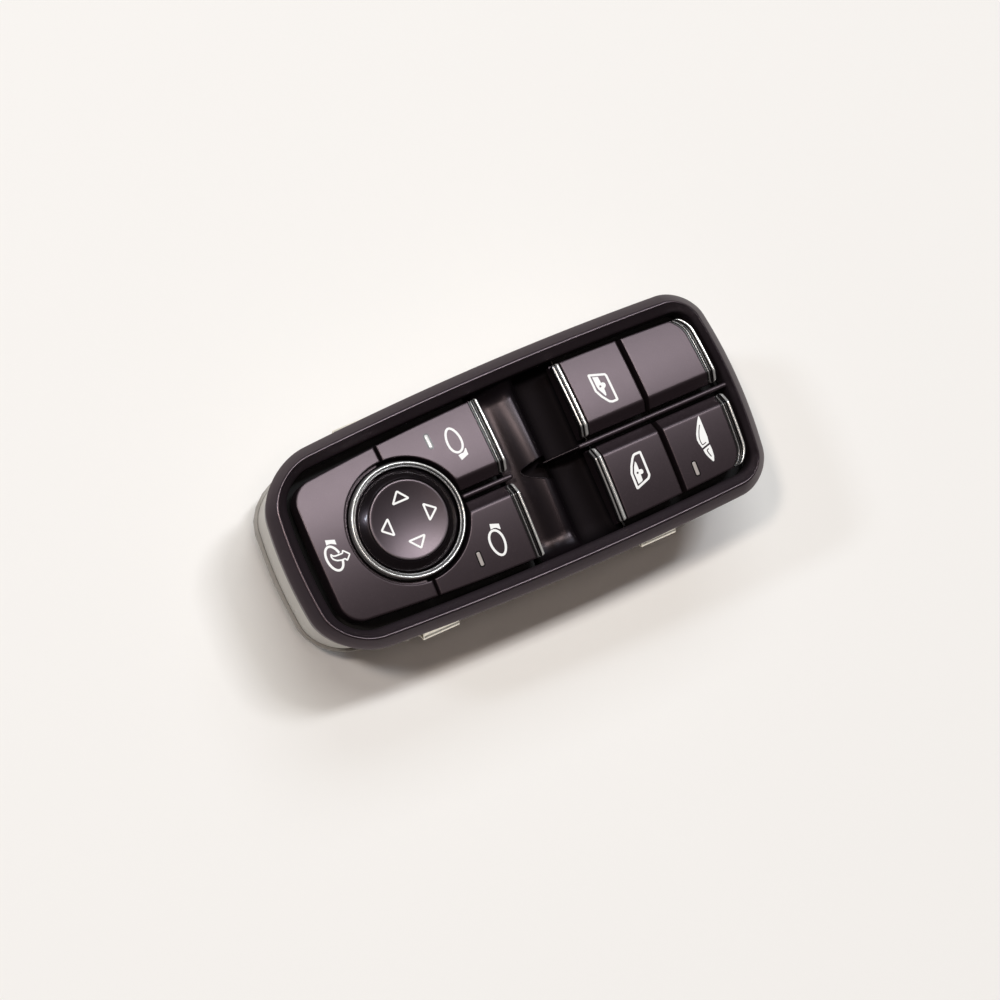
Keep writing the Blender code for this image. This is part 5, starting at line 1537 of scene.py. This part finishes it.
@dataclass
class FoldKey(Key):
    """The C-shaped key that folds the mirrors, round the joystick's outer half."""

    rounding: float = 0.42
    corner: float = 6.0
    seam_step: float = 0.35

    def height(self, x: float, y: float) -> float:
        """Return the face's height, which has no fall towards the middle."""
        return self.field.flat_top(x, y)

    def outer(self) -> list[Point2]:
        """Follow the outer edge, from the seam of one row round the end to the other.

        Returns:
            Plan points.
        """
        field = self.field
        seam = field.joy_x - self.seam_step
        low = field.fold_low
        half = field.edge(low + self.corner)
        top = [(x, field.edge(x)) for x in np.linspace(seam, low + self.corner, 22)]
        bend = arc((low + self.corner, half - self.corner), self.corner, 90, 180, 16)[1:]
        across = [(low, y) for y in np.linspace(half - self.corner, 0.0, 18)[1:]]
        bowed = [(x + (y * y / (4 * field.end_bow) - field.end_set) * self.near_end(x), y)
                 for x, y in top + bend + across]
        return bowed + [(x, -y) for x, y in bowed[-2::-1]]

    def near_end(self, x: float) -> float:
        """Return how much of the end's bow shows at a place along the switch."""
        span = self.field.joy_x - self.field.fold_low
        return min(max((self.field.joy_x - x) / span, 0.0), 1.0)

    def face_grid(self) -> list[list[Point3]]:
        """Lay out the face, from the joystick's circle outwards.

        Returns:
            Rows of points along the key.
        """
        field = self.field
        outer = self.outer()
        turn = math.acos(-self.seam_step / field.joy_hole)
        lengths = [0.0]
        for (a, b), (c, d) in zip(outer, outer[1:]):
            lengths.append(lengths[-1] + math.hypot(c - a, d - b))
        inner = []
        for length in lengths:
            angle = turn + (2 * math.pi - 2 * turn) * length / lengths[-1]
            inner.append((field.joy_x + field.joy_hole * math.cos(angle),
                          field.joy_hole * math.sin(angle)))
        along = self.spread(np.array(inner)), self.spread(np.array(outer))
        shares = near_ends(10.0, 1.2, 8, 26)
        plan = [[tuple(a + (b - a) * share) for a, b in zip(*along)] for share in shares]
        border = plan[0] + [row[-1] for row in plan[1:-1]] + plan[-1][::-1]
        border += [row[0] for row in plan[-2:0:-1]]
        flat = np.array([point for row in plan for point in row])
        heights = self.rounded(flat[:, 0], flat[:, 1], border).reshape(len(shares), -1)
        return [[(x, y, z) for (x, y), z in zip(row, high)] for row, high in zip(plan, heights)]

    def spread(self, line: np.ndarray) -> np.ndarray:
        """Resample an edge with close points near both of its ends.

        Args:
            line: The edge's points.

        Returns:
            The new points.
        """
        count = len(line) - 1
        shares = near_ends(float(count), 2.6, 8, 80)
        index = np.array(shares) * count
        return np.stack([np.interp(index, np.arange(count + 1), line[:, i]) for i in (0, 1)], 1)

    def build(self) -> None:
        """Build the cap."""
        self.cap(self.face_grid())


# Joystick


@dataclass
class Joystick:
    """The chrome ring and the domed knob with its dished satin pad."""

    field: Field
    body: str = "joystick"
    ring_outer: float = 15.9
    knob_edge: float = 13.45
    knob_edge_z: float = 42.2
    sphere: float = 21.99
    pivot_z: float = 24.8
    dish: float = 10.6
    dish_depth: float = 0.68
    pad_gap: float = 0.05
    recess: float = 2.6
    arrow_reach: float = 7.9
    arrow_height: float = 2.75
    arrow_half: float = 2.25

    @property
    def dish_z(self) -> float:
        """Return the height of the dish's edge."""
        return self.pivot_z + math.sqrt(self.sphere**2 - self.dish**2)

    def ring(self) -> None:
        """Build the chrome ring."""
        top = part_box("joystick_ring")[1].z / MM
        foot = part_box("joystick_ring")[0].z / MM
        wall = self.ring_outer
        curve = [(0.02, 2.75), (0.14, 2.3), (0.42, 1.75), (0.58, 1.2), (0.66, 0.65), (0.80, 0.20),
                 (1.06, 0.0), (1.32, 0.20), (1.42, 0.58), (1.60, 0.80), (1.82, 0.62), (1.98, 0.68),
                 (2.08, 0.92), (1.94, 1.15), (1.30, 1.6)]
        # Band 0 is bright chrome; bands 1 are black painted shade; bands 2 are chrome darkened as
        # painted shade.
        bands = [1, 1, 2, 2, 0, 0, 0, 1, 1, 2, 2, 2, 1, 1]
        curve = through([(wall - inset, top - drop) for inset, drop in curve], 3)
        profile = [(wall, foot), (wall, top - 3.2)] + curve
        profile += [(wall - 0.66, top - 3.2), (wall - 0.5, foot)]
        slots = [1, 1] + [band for band in bands for _ in range(3)] + [1, 1, 1]
        skin = Skin()
        revolve(skin, profile, self.field.joy_x, 256, slots, True)
        finishes = (CHROME, BLACK_FRAME_AND_SHADE, SHADE_CHROME)
        made = skin.piece("joystick_chrome_ring", finishes, "base", "chrome", 60.0)
        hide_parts("joystick_ring")

    def dome(self, radius: float) -> float:
        """Return the knob's height at a radius."""
        return self.pivot_z + math.sqrt(self.sphere**2 - radius**2)

    def knob(self) -> None:
        """Build the glossy knob below and round the dish."""
        lip = self.dish + 0.1
        recess = self.dish_z - self.recess
        profile = [(0.2, recess), (lip, recess), (lip, self.dish_z - 0.42)]
        crest = lip + 0.12
        profile += [(lip + 0.03, self.dish_z - 0.27), (crest, self.dish_z - 0.19)]
        edge, edge_z = self.knob_edge, self.knob_edge_z
        for share in np.linspace(0.12, 0.93, 14):
            radius = crest + (edge - crest) * share
            profile.append((radius, self.dome(radius) - 0.03))
        profile += [(edge - 0.10, edge_z + 0.02), (edge - 0.02, edge_z - 0.10),
                    (edge, edge_z - 0.3), (edge, edge_z - 1.0), (edge - 1.2, edge_z - 1.1),
                    (edge - 1.8, recess - 1.3), (0.2, recess - 1.3)]
        skin = Skin()
        revolve(skin, profile, self.field.joy_x, 160)
        made = skin.piece("joystick_gloss_knob", GLOSS, self.body, "gloss_black", 45.0)
        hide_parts("joystick_knob")

    def pad_height(self, x: float, y: float) -> float:
        """Return the dish's height at a place."""
        share = math.hypot(x - self.field.joy_x, y) / (self.dish - self.pad_gap)
        return self.dish_z - 0.1 - self.dish_depth * (1 - share**2)

    def pad(self) -> None:
        """Build the dished pad."""
        edge = self.dish - self.pad_gap
        low = self.dish_z - self.recess + 0.3
        profile = [(0.2, low), (edge, low), (edge, self.dish_z - 0.5)]
        profile += [(edge - 0.35 * (1 - math.cos(a)), self.dish_z - 0.5 + 0.33 * math.sin(a))
                    for a in np.linspace(0.25, math.pi / 2, 6)]
        profile += [(edge * share, self.pad_height(self.field.joy_x + edge * share, 0.0))
                    for share in np.linspace(0.955, 0.02, 26)]
        skin = Skin()
        # The rounded rim takes the lighter finish as a painted highlight.
        revolve(skin, profile, self.field.joy_x, 160, [0, 0, 1, 1, 1, 1, 1, 1, 1])
        made = skin.piece("joystick_satin_pad", (PAD, PAD_EDGE_HIGHLIGHT), self.body, "key_plastic", 45.0)
        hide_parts("joystick_pad")

    def arrows(self) -> None:
        """Build the four outlined arrow heads on the dish."""
        ink = Ink(self.pad_height, self.body)
        tip, base = self.arrow_reach, self.arrow_reach - self.arrow_height
        for turn in range(4):
            c, s = math.cos(turn * math.pi / 2), math.sin(turn * math.pi / 2)
            corners = [(tip, 0.0), (base, self.arrow_half), (base, -self.arrow_half)]
            ink.line([(self.field.joy_x + c * u - s * v, s * u + c * v) for u, v in corners],
                     0.52, closed=True, rounding=0.30)
        ink.piece("joystick_arrows")

    def build(self) -> None:
        """Build all of the joystick's pieces."""
        self.ring()
        self.knob()
        self.pad()
        self.arrows()


# Printed symbols


class Ink:
    """Thin raised print, laid over a face."""

    def __init__(self, height: Callable[[float, float], float], body: str,
                 rise: float = 0.035) -> None:
        """Start empty print.

        Args:
            height: The face's height at a plan point.
            body: The moving body that carries the face.
            rise: How far the print stands above the face.
        """
        self.height = height
        self.body = body
        self.skin = Skin()
        self.rise = rise
        self.depth = 0.12

    def rounded(self, points: Sequence[Point2], closed: bool, radius: float) -> list[Point2]:
        """Round a line's corners.

        Args:
            points: The line's corners.
            closed: Whether the line is a loop.
            radius: How far from a corner its rounding starts.

        Returns:
            The line with its rounded corners.
        """
        count = len(points)
        result: list[Point2] = []
        for i, point in enumerate(points):
            if not closed and i in (0, count - 1):
                result.append(point)
                continue
            here = np.array(point)
            before = np.array(points[i - 1])
            after = np.array(points[(i + 1) % count])
            back = before - here
            ahead = after - here
            reach = min(radius, np.linalg.norm(back) * 0.45, np.linalg.norm(ahead) * 0.45)
            first = here + back / np.linalg.norm(back) * reach
            last = here + ahead / np.linalg.norm(ahead) * reach
            for t in np.linspace(0.0, 1.0, 6):
                result.append(tuple((1 - t) ** 2 * first + 2 * t * (1 - t) * here + t * t * last))
        return result

    def line(self, points: Sequence[Point2], width: float, closed: bool = False,
             rounding: float = 0.35) -> None:
        """Lay a stroke along a line.

        Args:
            points: The line's corners.
            width: The stroke's width.
            closed: Whether the line is a loop.
            rounding: How far from a corner its rounding starts.
        """
        path = np.array(dense(self.rounded(points, closed, rounding), closed))
        if closed:
            along = np.roll(path, -1, axis=0) - np.roll(path, 1, axis=0)
        else:
            along = np.gradient(path, axis=0)
        along /= np.maximum(np.linalg.norm(along, axis=1), 1e-9)[:, None]
        normal = np.stack((-along[:, 1], along[:, 0]), 1) * width / 2
        sections = []
        for (x, y), (u, v) in zip(path, normal):
            top = self.height(x, y) + self.rise
            left, right = (x + u, y + v), (x - u, y - v)
            edge = [left, right]
            section = [(a, b, self.height(a, b) + self.rise * 0.6) for a, b in edge]
            section.insert(1, (x, y, top))
            section += [(a, b, self.height(a, b) - self.depth) for a, b in reversed(edge)]
            sections.append(section)
        if closed:
            rows = [self.skin.ring(section) for section in sections]
            for low, high in zip(rows, rows[1:] + rows[:1]):
                self.skin.bridge(low, high)
        else:
            self.skin.sweep(sections)

    def fill(self, outline: Sequence[Point2]) -> None:
        """Lay a filled shape.

        Args:
            outline: The shape's outline.
        """
        edge = dense(outline, True, 0.35)
        top = self.skin.ring([(x, y, self.height(x, y) + self.rise) for x, y in edge])
        low = self.skin.ring([(x, y, self.height(x, y) - self.depth) for x, y in edge])
        self.skin.bridge(top, low)
        self.skin.faces += [tuple(top), tuple(reversed(low))]
        self.skin.slots += [0, 0]

    def dot(self, centre: Point2, radius: float) -> None:
        """Lay a round dot."""
        self.fill(arc(centre, radius, 0, 360, 16)[:-1])

    def piece(self, name: str, finish: Finish = PRINT) -> None:
        """Make the print's object."""
        self.skin.piece(name, finish, self.body, "", 30.0)


def oval(centre: Point2, half: Point2, lean: float, taper: float = 0.0, start: float = 0.0,
         stop: float = 360.0, steps: int = 36) -> list[Point2]:
    """Draw a leaning, egg-shaped ellipse or a part of one.

    Args:
        centre: Its middle.
        half: Its half widths.
        lean: Its turn in degrees.
        taper: How much narrower its upper half is.
        start: The first angle in degrees.
        stop: The last angle in degrees.
        steps: The number of points.

    Returns:
        Its points.
    """
    c, s = math.cos(math.radians(lean)), math.sin(math.radians(lean))
    full = abs(stop - start) >= 360.0
    result = []
    for angle in np.radians(np.linspace(start, stop, steps, endpoint=not full)):
        u = half[0] * math.cos(angle) * (1 - taper * math.sin(angle))
        v = half[1] * math.sin(angle)
        result.append((centre[0] + c * u - s * v, centre[1] + s * u + c * v))
    return result


@dataclass
class Symbols:
    """The white symbols on the keys."""

    field: Field
    stroke: float = 0.62

    def mirror(self, row: Row, body: str) -> None:
        """Lay a mirror symbol: an oval glass with a solid foot.

        Args:
            row: The key's row.
            body: The key's body.
        """
        ink = Ink(self.field.top, body)
        if row is Row.RIGHT:
            glass = oval((-13.1, 14.3), (1.88, 3.36), 1.0, 0.13)
            foot = [(-13.70, 10.22), (-13.35, 8.72), (-11.12, 9.50), (-11.00, 11.25),
                    (-11.36, 11.22), (-11.72, 10.74), (-12.25, 10.36), (-12.85, 10.42)]
        else:
            glass = oval((-13.35, -14.55), (1.92, 3.38), 3.0, -0.10)
            foot = [(-13.55, -9.28), (-11.15, -10.12), (-11.25, -11.60), (-11.62, -11.42),
                    (-12.12, -10.92), (-12.80, -10.66), (-13.80, -10.72)]
        ink.line(glass, self.stroke, closed=True, rounding=0.2)
        ink.fill(foot)
        ink.piece(f"symbol_mirror_{row.name.lower()}")

    def fold(self, body: str) -> None:
        """Lay the folding mirror symbol: the mirror with a curved arrow through its glass.

        Args:
            body: The key's body.
        """
        ink = Ink(self.field.flat_top, body)
        glass = oval((-55.12, -1.62), (1.90, 3.32), 7.0, 0.0, 10.0, 337.0)
        ink.line(glass, self.stroke, rounding=0.2)
        ink.fill([(-55.45, 3.58), (-53.02, 2.76), (-53.10, 1.42), (-53.72, 1.78), (-54.32, 2.12),
                  (-54.90, 2.24), (-55.66, 2.20)])
        arrow = [(-55.52, -0.30), (-55.25, -0.88), (-54.60, -1.16), (-53.60, -1.20),
                 (-52.56, -1.20), (-52.30, -0.55), (-50.88, -2.08), (-52.14, -3.36),
                 (-52.46, -2.74), (-53.40, -2.76), (-54.60, -2.42), (-55.42, -1.76),
                 (-55.68, -1.00)]
        ink.line(arrow, 0.40, closed=True, rounding=0.25)
        ink.piece("symbol_fold")

    def window(self, row: Row, body: str) -> None:
        """Lay a front window symbol: a door glass with a solid regulator block in it.

        Args:
            row: The key's row.
            body: The key's body.
        """
        if row is Row.RIGHT:
            outline = [(28.08, 16.22), (32.40, 14.85), (32.58, 14.30), (32.58, 7.42), (31.10, 7.42),
                       (30.30, 7.80), (28.95, 9.70), (28.05, 11.60)]
            block = [(28.78, 15.40), (30.30, 14.92), (30.35, 13.15), (30.92, 13.10), (31.30, 12.75),
                     (31.34, 12.20), (31.00, 11.72), (30.50, 11.42), (30.36, 9.75), (30.05, 9.45),
                     (28.95, 11.70), (28.78, 12.60)]
            hole = (29.75, 12.35)
        else:
            outline = [(30.75, -7.62), (32.36, -7.62), (32.36, -14.10), (31.80, -14.86),
                       (27.86, -16.15), (27.88, -12.00), (28.62, -10.20), (29.70, -8.45),
                       (30.25, -7.80)]
            block = [(30.00, -9.40), (30.22, -9.90), (30.20, -11.80), (30.88, -11.86),
                     (31.18, -12.30), (31.10, -12.88), (30.70, -13.14), (30.15, -13.12),
                     (30.10, -14.62), (29.88, -14.86), (28.62, -15.22), (28.58, -12.20),
                     (29.22, -10.60)]
            hole = (29.50, -12.42)
        ink = Ink(self.field.top, body)
        ink.line(outline, self.stroke, closed=True, rounding=0.22)
        ink.fill(block)
        ink.piece(f"symbol_window_{row.name.lower()}")
        gap = Ink(self.field.top, body, 0.06)
        gap.dot(hole, 0.30)
        gap.piece(f"symbol_window_{row.name.lower()}_hole", KEYS)

    def side_glass(self, body: str) -> None:
        """Lay the rear side glass symbol: two panes with fine lines in them.

        Args:
            body: The key's body.
        """
        ink = Ink(self.field.top, body)
        ink.fill([(51.50, -4.95), (51.62, -5.60), (51.58, -11.00), (51.32, -12.66), (49.02, -13.26),
                  (48.60, -11.80), (48.48, -10.70), (48.86, -9.30), (49.60, -7.90), (50.60, -6.20)])
        ink.fill([(51.40, -13.16), (51.48, -14.50), (51.30, -16.40), (50.84, -17.58),
                  (50.50, -17.58), (49.72, -16.10), (49.24, -14.90), (49.10, -13.78)])
        ink.piece("symbol_side_glass")
        lines = Ink(self.field.top, body, 0.06)
        lines.line([(50.78, -7.30), (49.98, -8.70), (49.32, -10.30), (49.22, -11.50),
                    (49.40, -12.56), (50.66, -12.22)], 0.26, rounding=0.2)
        lines.line([(50.66, -14.00), (50.02, -14.28), (50.20, -15.20), (50.58, -16.25)], 0.30,
                   rounding=0.2)
        lines.piece("symbol_side_glass_lines", KEYS)

    def build(self) -> None:
        """Lay all symbols."""
        self.mirror(Row.RIGHT, "left_mirror_button")
        self.mirror(Row.LEFT, "right_mirror_button")
        self.fold("mirror_fold_button")
        self.window(Row.RIGHT, "front_right_rocker")
        self.window(Row.LEFT, "front_left_rocker")
        self.side_glass("rear_left_rocker")


@dataclass
class Lens:
    """An indicator bar in a dark frame."""

    field: Field
    node: str
    body: str
    finish: Finish = LENS
    width: float = 0.95
    length: float = 3.7
    frame: float = 0.34

    def pill(self, centre: Point2, grow: float) -> list[Point2]:
        """Draw the bar's rounded outline.

        Args:
            centre: The bar's middle.
            grow: The margin that is added all round.

        Returns:
            Plan points.
        """
        half_x = self.width / 2 + grow
        half_y = self.length / 2 + grow
        r = min(0.35 + grow, half_x)
        x, y = centre
        points = arc((x + half_x - r, y + half_y - r), r, 0, 90, 6)
        points += arc((x - half_x + r, y + half_y - r), r, 90, 180, 6)
        points += arc((x - half_x + r, y - half_y + r), r, 180, 270, 6)
        return points + arc((x + half_x - r, y - half_y + r), r, 270, 360, 6)

    def build(self) -> None:
        """Build the bar and its frame."""
        low, high = (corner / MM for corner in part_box(self.node))
        centre = ((low.x + high.x) / 2, (low.y + high.y) / 2)
        frame = Ink(self.field.top, self.body, 0.02)
        frame.fill(self.pill(centre, self.frame))
        frame.piece(self.node + "_frame", BLACK_FRAME_AND_SHADE)
        skin = Skin()
        rings = []
        for grow, rise in ((0.0, -0.6), (0.0, 0.03), (-0.05, 0.075), (-0.16, 0.10), (-0.3, 0.11)):
            rings.append([(x, y, self.field.top(x, y) + rise) for x, y in self.pill(centre, grow)])
        skin.loft(rings)
        made = skin.piece(self.node + "_bar", self.finish, self.body, "lens_plastic", 40.0)
        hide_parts(self.node)


# Below the rim


@dataclass
class Clip:
    """A bent sheet clip, whose bend stands a little proud of the rim above it."""

    field: Field
    node: str
    sheet: float = 0.5
    proud: float = 1.0
    edge_round: float = 0.12
    bend_drop: float = 5.2

    def build(self) -> None:
        """Build the clip where its plain node stands."""
        low, high = (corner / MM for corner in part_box(self.node))
        side = 1.0 if low.y > 0 else -1.0
        base = (low.y if side > 0 else high.y) + side * self.sheet / 2
        reach = self.field.bow((low.x + high.x) / 2, self.field.half_width)[1] + self.proud
        edge = side * (min(max(high.y, -low.y), reach) - self.sheet / 2)
        foot, top = low.z, high.z
        bend = top - self.bend_drop
        path = through([(base, foot), (base, foot + 2.8), (base + side * 0.5, foot + 4.6),
                        (edge - side * 1.0, bend - 2.0), (edge - side * 0.12, bend - 0.6),
                        (edge - side * 0.02, bend), (edge - side * 0.25, bend + 0.7),
                        (edge - side * 1.0, bend + 1.5), (base + side * 0.9, top - 1.6),
                        (base + side * 0.3, top - 0.25)], 6)
        line = np.array(path)
        along = np.gradient(line, axis=0)
        along /= np.linalg.norm(along, axis=1)[:, None]
        skin = Skin()
        sections = []
        left, right = low.x + self.edge_round, high.x - self.edge_round
        for (y, z), (dy, dz) in zip(line, along * self.sheet / 2):
            sections.append([(right, y + dz, z - dy), (high.x, y, z), (right, y - dz, z + dy),
                             (left, y - dz, z + dy), (low.x, y, z), (left, y + dz, z - dy)])
        skin.sweep(sections)
        made = skin.piece(self.node + "_sheet", STEEL, "base", "spring_steel", 40.0)
        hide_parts(self.node)


@dataclass
class Underside:
    """The smooth walls of the housing and its cover, with the cover's screws and gussets."""

    field: Field
    inset: float = 3.07
    draft: float = 0.5
    low: float = 13.3
    bend: float = 30.4
    high: float = 32.2
    flange_inset: float = 2.62
    flange: Point2 = (11.66, 13.32)
    columns: tuple[Point2, Point2] = ((-50.0, 56.0), (-18.0, 18.0))
    seat: float = 12.18
    head: float = 2.45
    shank: float = 1.1
    tub_x: float = 10.0
    tub_side: float = 18.9
    gussets: int = 5
    gusset_pitch: float = 12.5

    def loop(self, inset: float, z: float) -> list[Point3]:
        """Return a plan loop of the walls at a height."""
        return [(x, y, z) for x, y in self.field.outline(inset, inset, inset)]

    def walls(self) -> None:
        """Build the smooth skin of the housing and the rounded edge of the cover's flange."""
        foot = self.inset + self.draft
        levels = [(foot + 0.30, self.low), (foot + 0.06, self.low), (foot, self.low + 0.12),
                  (self.inset, self.bend), (self.inset, self.high),
                  (self.inset + 0.25, self.high + 0.1), (foot + 0.35, self.high)]
        shell = Skin()
        shell.loft([self.loop(*level) for level in levels], cyclic=True)
        shell.piece("housing_walls", HOUSING, "base", "housing_plastic", 30.0)
        low, high = self.flange
        edge = self.flange_inset
        curve = [(1.6, low), (0.42, low), (0.14, low + 0.11), (0.02, low + 0.40), (0.0, low + 0.8),
                 (0.02, high - 0.40), (0.12, high - 0.13), (0.38, high), (0.9, high),
                 (1.6, low + 0.3)]
        plate = Skin()
        plate.loft([self.loop(edge + inset, z) for inset, z in curve], cyclic=True)
        plate.piece("cover_flange", COVER_SHADED, "base", "housing_plastic", 30.0)

    def screws(self, layout: Layout) -> None:
        """Build the pan head screws with their cross recesses.

        Args:
            layout: The tree that repeats them.
        """
        r, head = self.shank, self.head
        profile = [(0.02, 9.0), (r * 0.6, 9.0), (r, 8.2), (r, 0.0), (head - 0.05, 0.0),
                   (head, -0.10), (head, -0.62), (head * 0.95, -0.98), (head * 0.80, -1.26),
                   (head * 0.5, -1.42), (0.02, -1.48)]
        skin = Skin()
        revolve(skin, profile, 0.0, 40)
        screw = skin.blank("cover_screws", (SCREW,))
        cross = Skin()
        rings = []
        for arm, half, z in ((0.95, 0.20, -0.45), (1.35, 0.30, -1.2), (1.55, 0.33, -1.9)):
            rings.append([(x * c - y * s, x * s + y * c, z)
                          for c, s in ((1, 0), (0, 1), (-1, 0), (0, -1))
                          for x, y in ((arm, -half), (arm, half), (half, half))])
        cross.loft(rings)
        cut(screw, cross.blank("cross_cutter"))
        (left, right), (near, far) = self.columns
        layout.spread(screw, {
            "Centre": ((left + right) / 2 * MM, (near + far) / 2 * MM, self.seat * MM),
            "Count X": 2, "Count Y": 2, "Length X": (right - left) * MM,
            "Length Y": (far - near) * MM, "Turn": 1.4, "Seed": 4, "Finish": SCREW.material()})
        settle(screw, "base", 30.0)

    def ribs(self, layout: Layout) -> None:
        """Build the gussets between the tub and the flange.

        Args:
            layout: The tree that repeats them.
        """
        section = [(-0.5, 0.4), (6.0, 0.4), (6.0, -0.5), (5.7, -0.8), (0.0, -6.3), (-0.9, -6.6)]
        skin = Skin()
        skin.loft([[(x, y, z) for y, z in section] for x in (-0.45, 0.45)])
        rib = skin.blank("tub_gussets", (COVER_SHADED,))
        layout.spread(rib, {
            "Centre": (self.tub_x * MM, 0.0, self.flange[0] * MM), "Count X": self.gussets,
            "Count Y": 2, "Length X": self.gusset_pitch * (self.gussets - 1) * MM,
            "Length Y": 2 * self.tub_side * MM, "Turn": 0.0, "Seed": 1,
            "Finish": COVER_SHADED.material()})
        settle(rib, "base", 30.0)

    def build(self) -> None:
        """Build the walls, the screws and the gussets."""
        self.walls()
        layout = Layout("repeat_on_grid")
        self.screws(layout)
        self.ribs(layout)


@dataclass
class CadDressing:
    """Gives the nodes that stay as packed their finishes."""

    nodes: dict[str, bpy.types.Object]

    def build(self) -> None:
        """Assign a finish to every node by its name."""
        finishes = {
            "switch_housing": HOUSING, "rear_cover": COVER_SHADED, "circuit_board": BOARD,
            "dome_mat": RUBBER, "controller_chip": RESIN, "connector_header": CONNECTOR,
            "connector_pin": PIN,
            "gimbal_ring": CARRIER, "joystick_stem": CARRIER, "lamp": LENS, "lens": LENS,
            "carrier": CARRIER, "clip": STEEL, "trim": CHROME, "joystick_ring": CHROME,
            "joystick_knob": GLOSS, "joystick_pad": PAD, "key": KEYS, "bezel": BEZEL,
        }
        for name, node in self.nodes.items():
            finish = next(value for part, value in finishes.items() if part in name)
            for slot in node.material_slots:
                slot.material = finish.material()
            log.info("%s: dressed in %s", name, finish.name)


# Studio


@dataclass(frozen=True)
class Lamp:
    """A soft oblong studio light, whose long side lies along the switch."""

    name: str
    toward: Point3
    size: Point2
    power: float
    colour: Colour
    distance: float = 5.0

    def build(self, target: Vector) -> None:
        """Hang the lamp and aim it.

        Args:
            target: The point that it looks at.
        """
        data = bpy.data.lights.new(self.name, "AREA")
        data.shape = "RECTANGLE"
        data.size, data.size_y = self.size
        data.energy = self.power
        data.color = self.colour
        obj = bpy.data.objects.new(self.name, data)
        away = Vector(self.toward).normalized()
        obj.location = target + away * self.distance
        side = Vector((1.0, 0.0, 0.0)) - away * away.x
        side.normalize()
        obj.rotation_euler = Matrix((side, away.cross(side), away)).transposed().to_euler()
        bpy.context.scene.collection.objects.link(obj)


@dataclass
class Studio:
    """The pale floor, the soft lights and the camera of the photograph."""

    target: Point3 = (-0.0016, 0.0002, 0.043)
    lean_x: float = 18.0
    lean_y: float = 2.0
    roll: float = 23.85
    distance: float = 0.80
    focal: float = 3.080
    centre: Point2 = (0.515, 0.4732)
    sensor: float = 36.0
    floor_half: float = 2.0
    room: Colour = (1.0, 0.90, 0.82)
    room_strength: float = 0.03
    lamp_target: Point3 = (0.0, 0.0, 0.04)
    lamps: tuple[Lamp, ...] = (
        Lamp("strip_right", (0.293, 0.245, 1.0), (1.25, 0.35), 82.0, (0.97, 1.00, 1.03)),
        Lamp("strip_middle", (-0.044, 0.305, 1.0), (2.03, 0.30), 60.0, (1.00, 1.02, 0.97)),
        Lamp("strip_left", (-0.420, 0.256, 1.0), (0.38, 0.40), 56.0, (1.12, 1.00, 0.88)),
        Lamp("far_left", (-0.879, 0.619, 1.0), (0.75, 0.43), 31.0, (0.88, 1.00, 1.12)),
        Lamp("far_right", (0.261, 0.774, 1.0), (3.25, 1.65), 46.0, (0.90, 1.01, 1.10)),
        Lamp("overhead", (-0.154, -0.033, 1.0), (0.63, 1.12), 19.0, (1.15, 0.97, 0.88)),
    )

    def floor(self) -> None:
        """Lay the floor."""
        mesh = bpy.data.meshes.new("floor")
        half = self.floor_half
        corners = [(-half, -half, 0), (half, -half, 0), (half, half, 0), (-half, half, 0)]
        mesh.from_pydata(corners, [], [(0, 1, 2, 3)])
        mesh.materials.append(FLOOR.material())
        obj = bpy.data.objects.new("floor", mesh)
        bpy.context.scene.collection.objects.link(obj)

    def camera(self) -> None:
        """Set up the camera at the photograph's angle."""
        lean_x, lean_y = (math.tan(math.radians(lean)) for lean in (self.lean_x, self.lean_y))
        away = Vector((-lean_x, -lean_y, 1.0)).normalized()
        up = Vector((0, 1, 0)) - away * away.y
        up.normalize()
        right = up.cross(away)
        c, s = math.cos(math.radians(self.roll)), math.sin(math.radians(self.roll))
        image_right = right * c - up * s
        image_up = right * s + up * c
        turn = Matrix((image_right, image_up, away)).transposed().to_4x4()
        turn.translation = Vector(self.target) + away * self.distance
        data = bpy.data.cameras.new("camera")
        data.sensor_width = self.sensor
        data.lens = self.sensor * self.focal
        data.shift_x = 0.5 - self.centre[0]
        data.shift_y = self.centre[1] - 0.5
        obj = bpy.data.objects.new("camera", data)
        obj.matrix_world = turn
        bpy.context.scene.collection.objects.link(obj)
        bpy.context.scene.camera = obj

    def world(self) -> None:
        """Fill the room with even pale light."""
        world = bpy.data.worlds.new("room")
        bpy.context.scene.world = world
        world.use_nodes = True
        ground = world.node_tree.nodes["Background"]
        ground.inputs["Color"].default_value = rgba(self.room)
        ground.inputs["Strength"].default_value = self.room_strength

    def build(self) -> None:
        """Set up the whole studio."""
        self.floor()
        self.camera()
        self.world()
        for lamp in self.lamps:
            lamp.build(Vector(self.lamp_target))
        bpy.context.scene.view_settings.view_transform = "Standard"


def main() -> None:
    """Build the whole switch and its studio."""
    logging.basicConfig(level=logging.INFO, format="%(message)s")
    field = Field.read()
    Studio().build()
    CadDressing(frame["nodes"]).build()
    Bezel(field).build()
    FrontKey(field, "front_right", "front_right_rocker", row=Row.RIGHT).build()
    FrontKey(field, "front_left", "front_left_rocker", row=Row.LEFT).build()
    RearKey(field, "rear_right", "rear_right_rocker", row=Row.RIGHT).build()
    RearKey(field, "rear_left", "rear_left_rocker", row=Row.LEFT).build()
    SelectKey(field, "left_mirror", "left_mirror_button", row=Row.RIGHT).build()
    SelectKey(field, "right_mirror", "right_mirror_button", row=Row.LEFT).build()
    FoldKey(field, "mirror_fold", "mirror_fold_button").build()
    Joystick(field).build()
    Symbols(field).build()
    Lens(field, "left_mirror_lens", "left_mirror_button").build()
    Lens(field, "right_mirror_lens", "right_mirror_button", LENS_GREY).build()
    Lens(field, "rear_window_lens", "rear_left_rocker", LENS_GREY).build()
    Underside(field).build()
    for node in ("clip_front_left", "clip_front_right", "clip_rear_left", "clip_rear_right"):
        Clip(field, node).build()


if __name__ == "__main__":
    main()
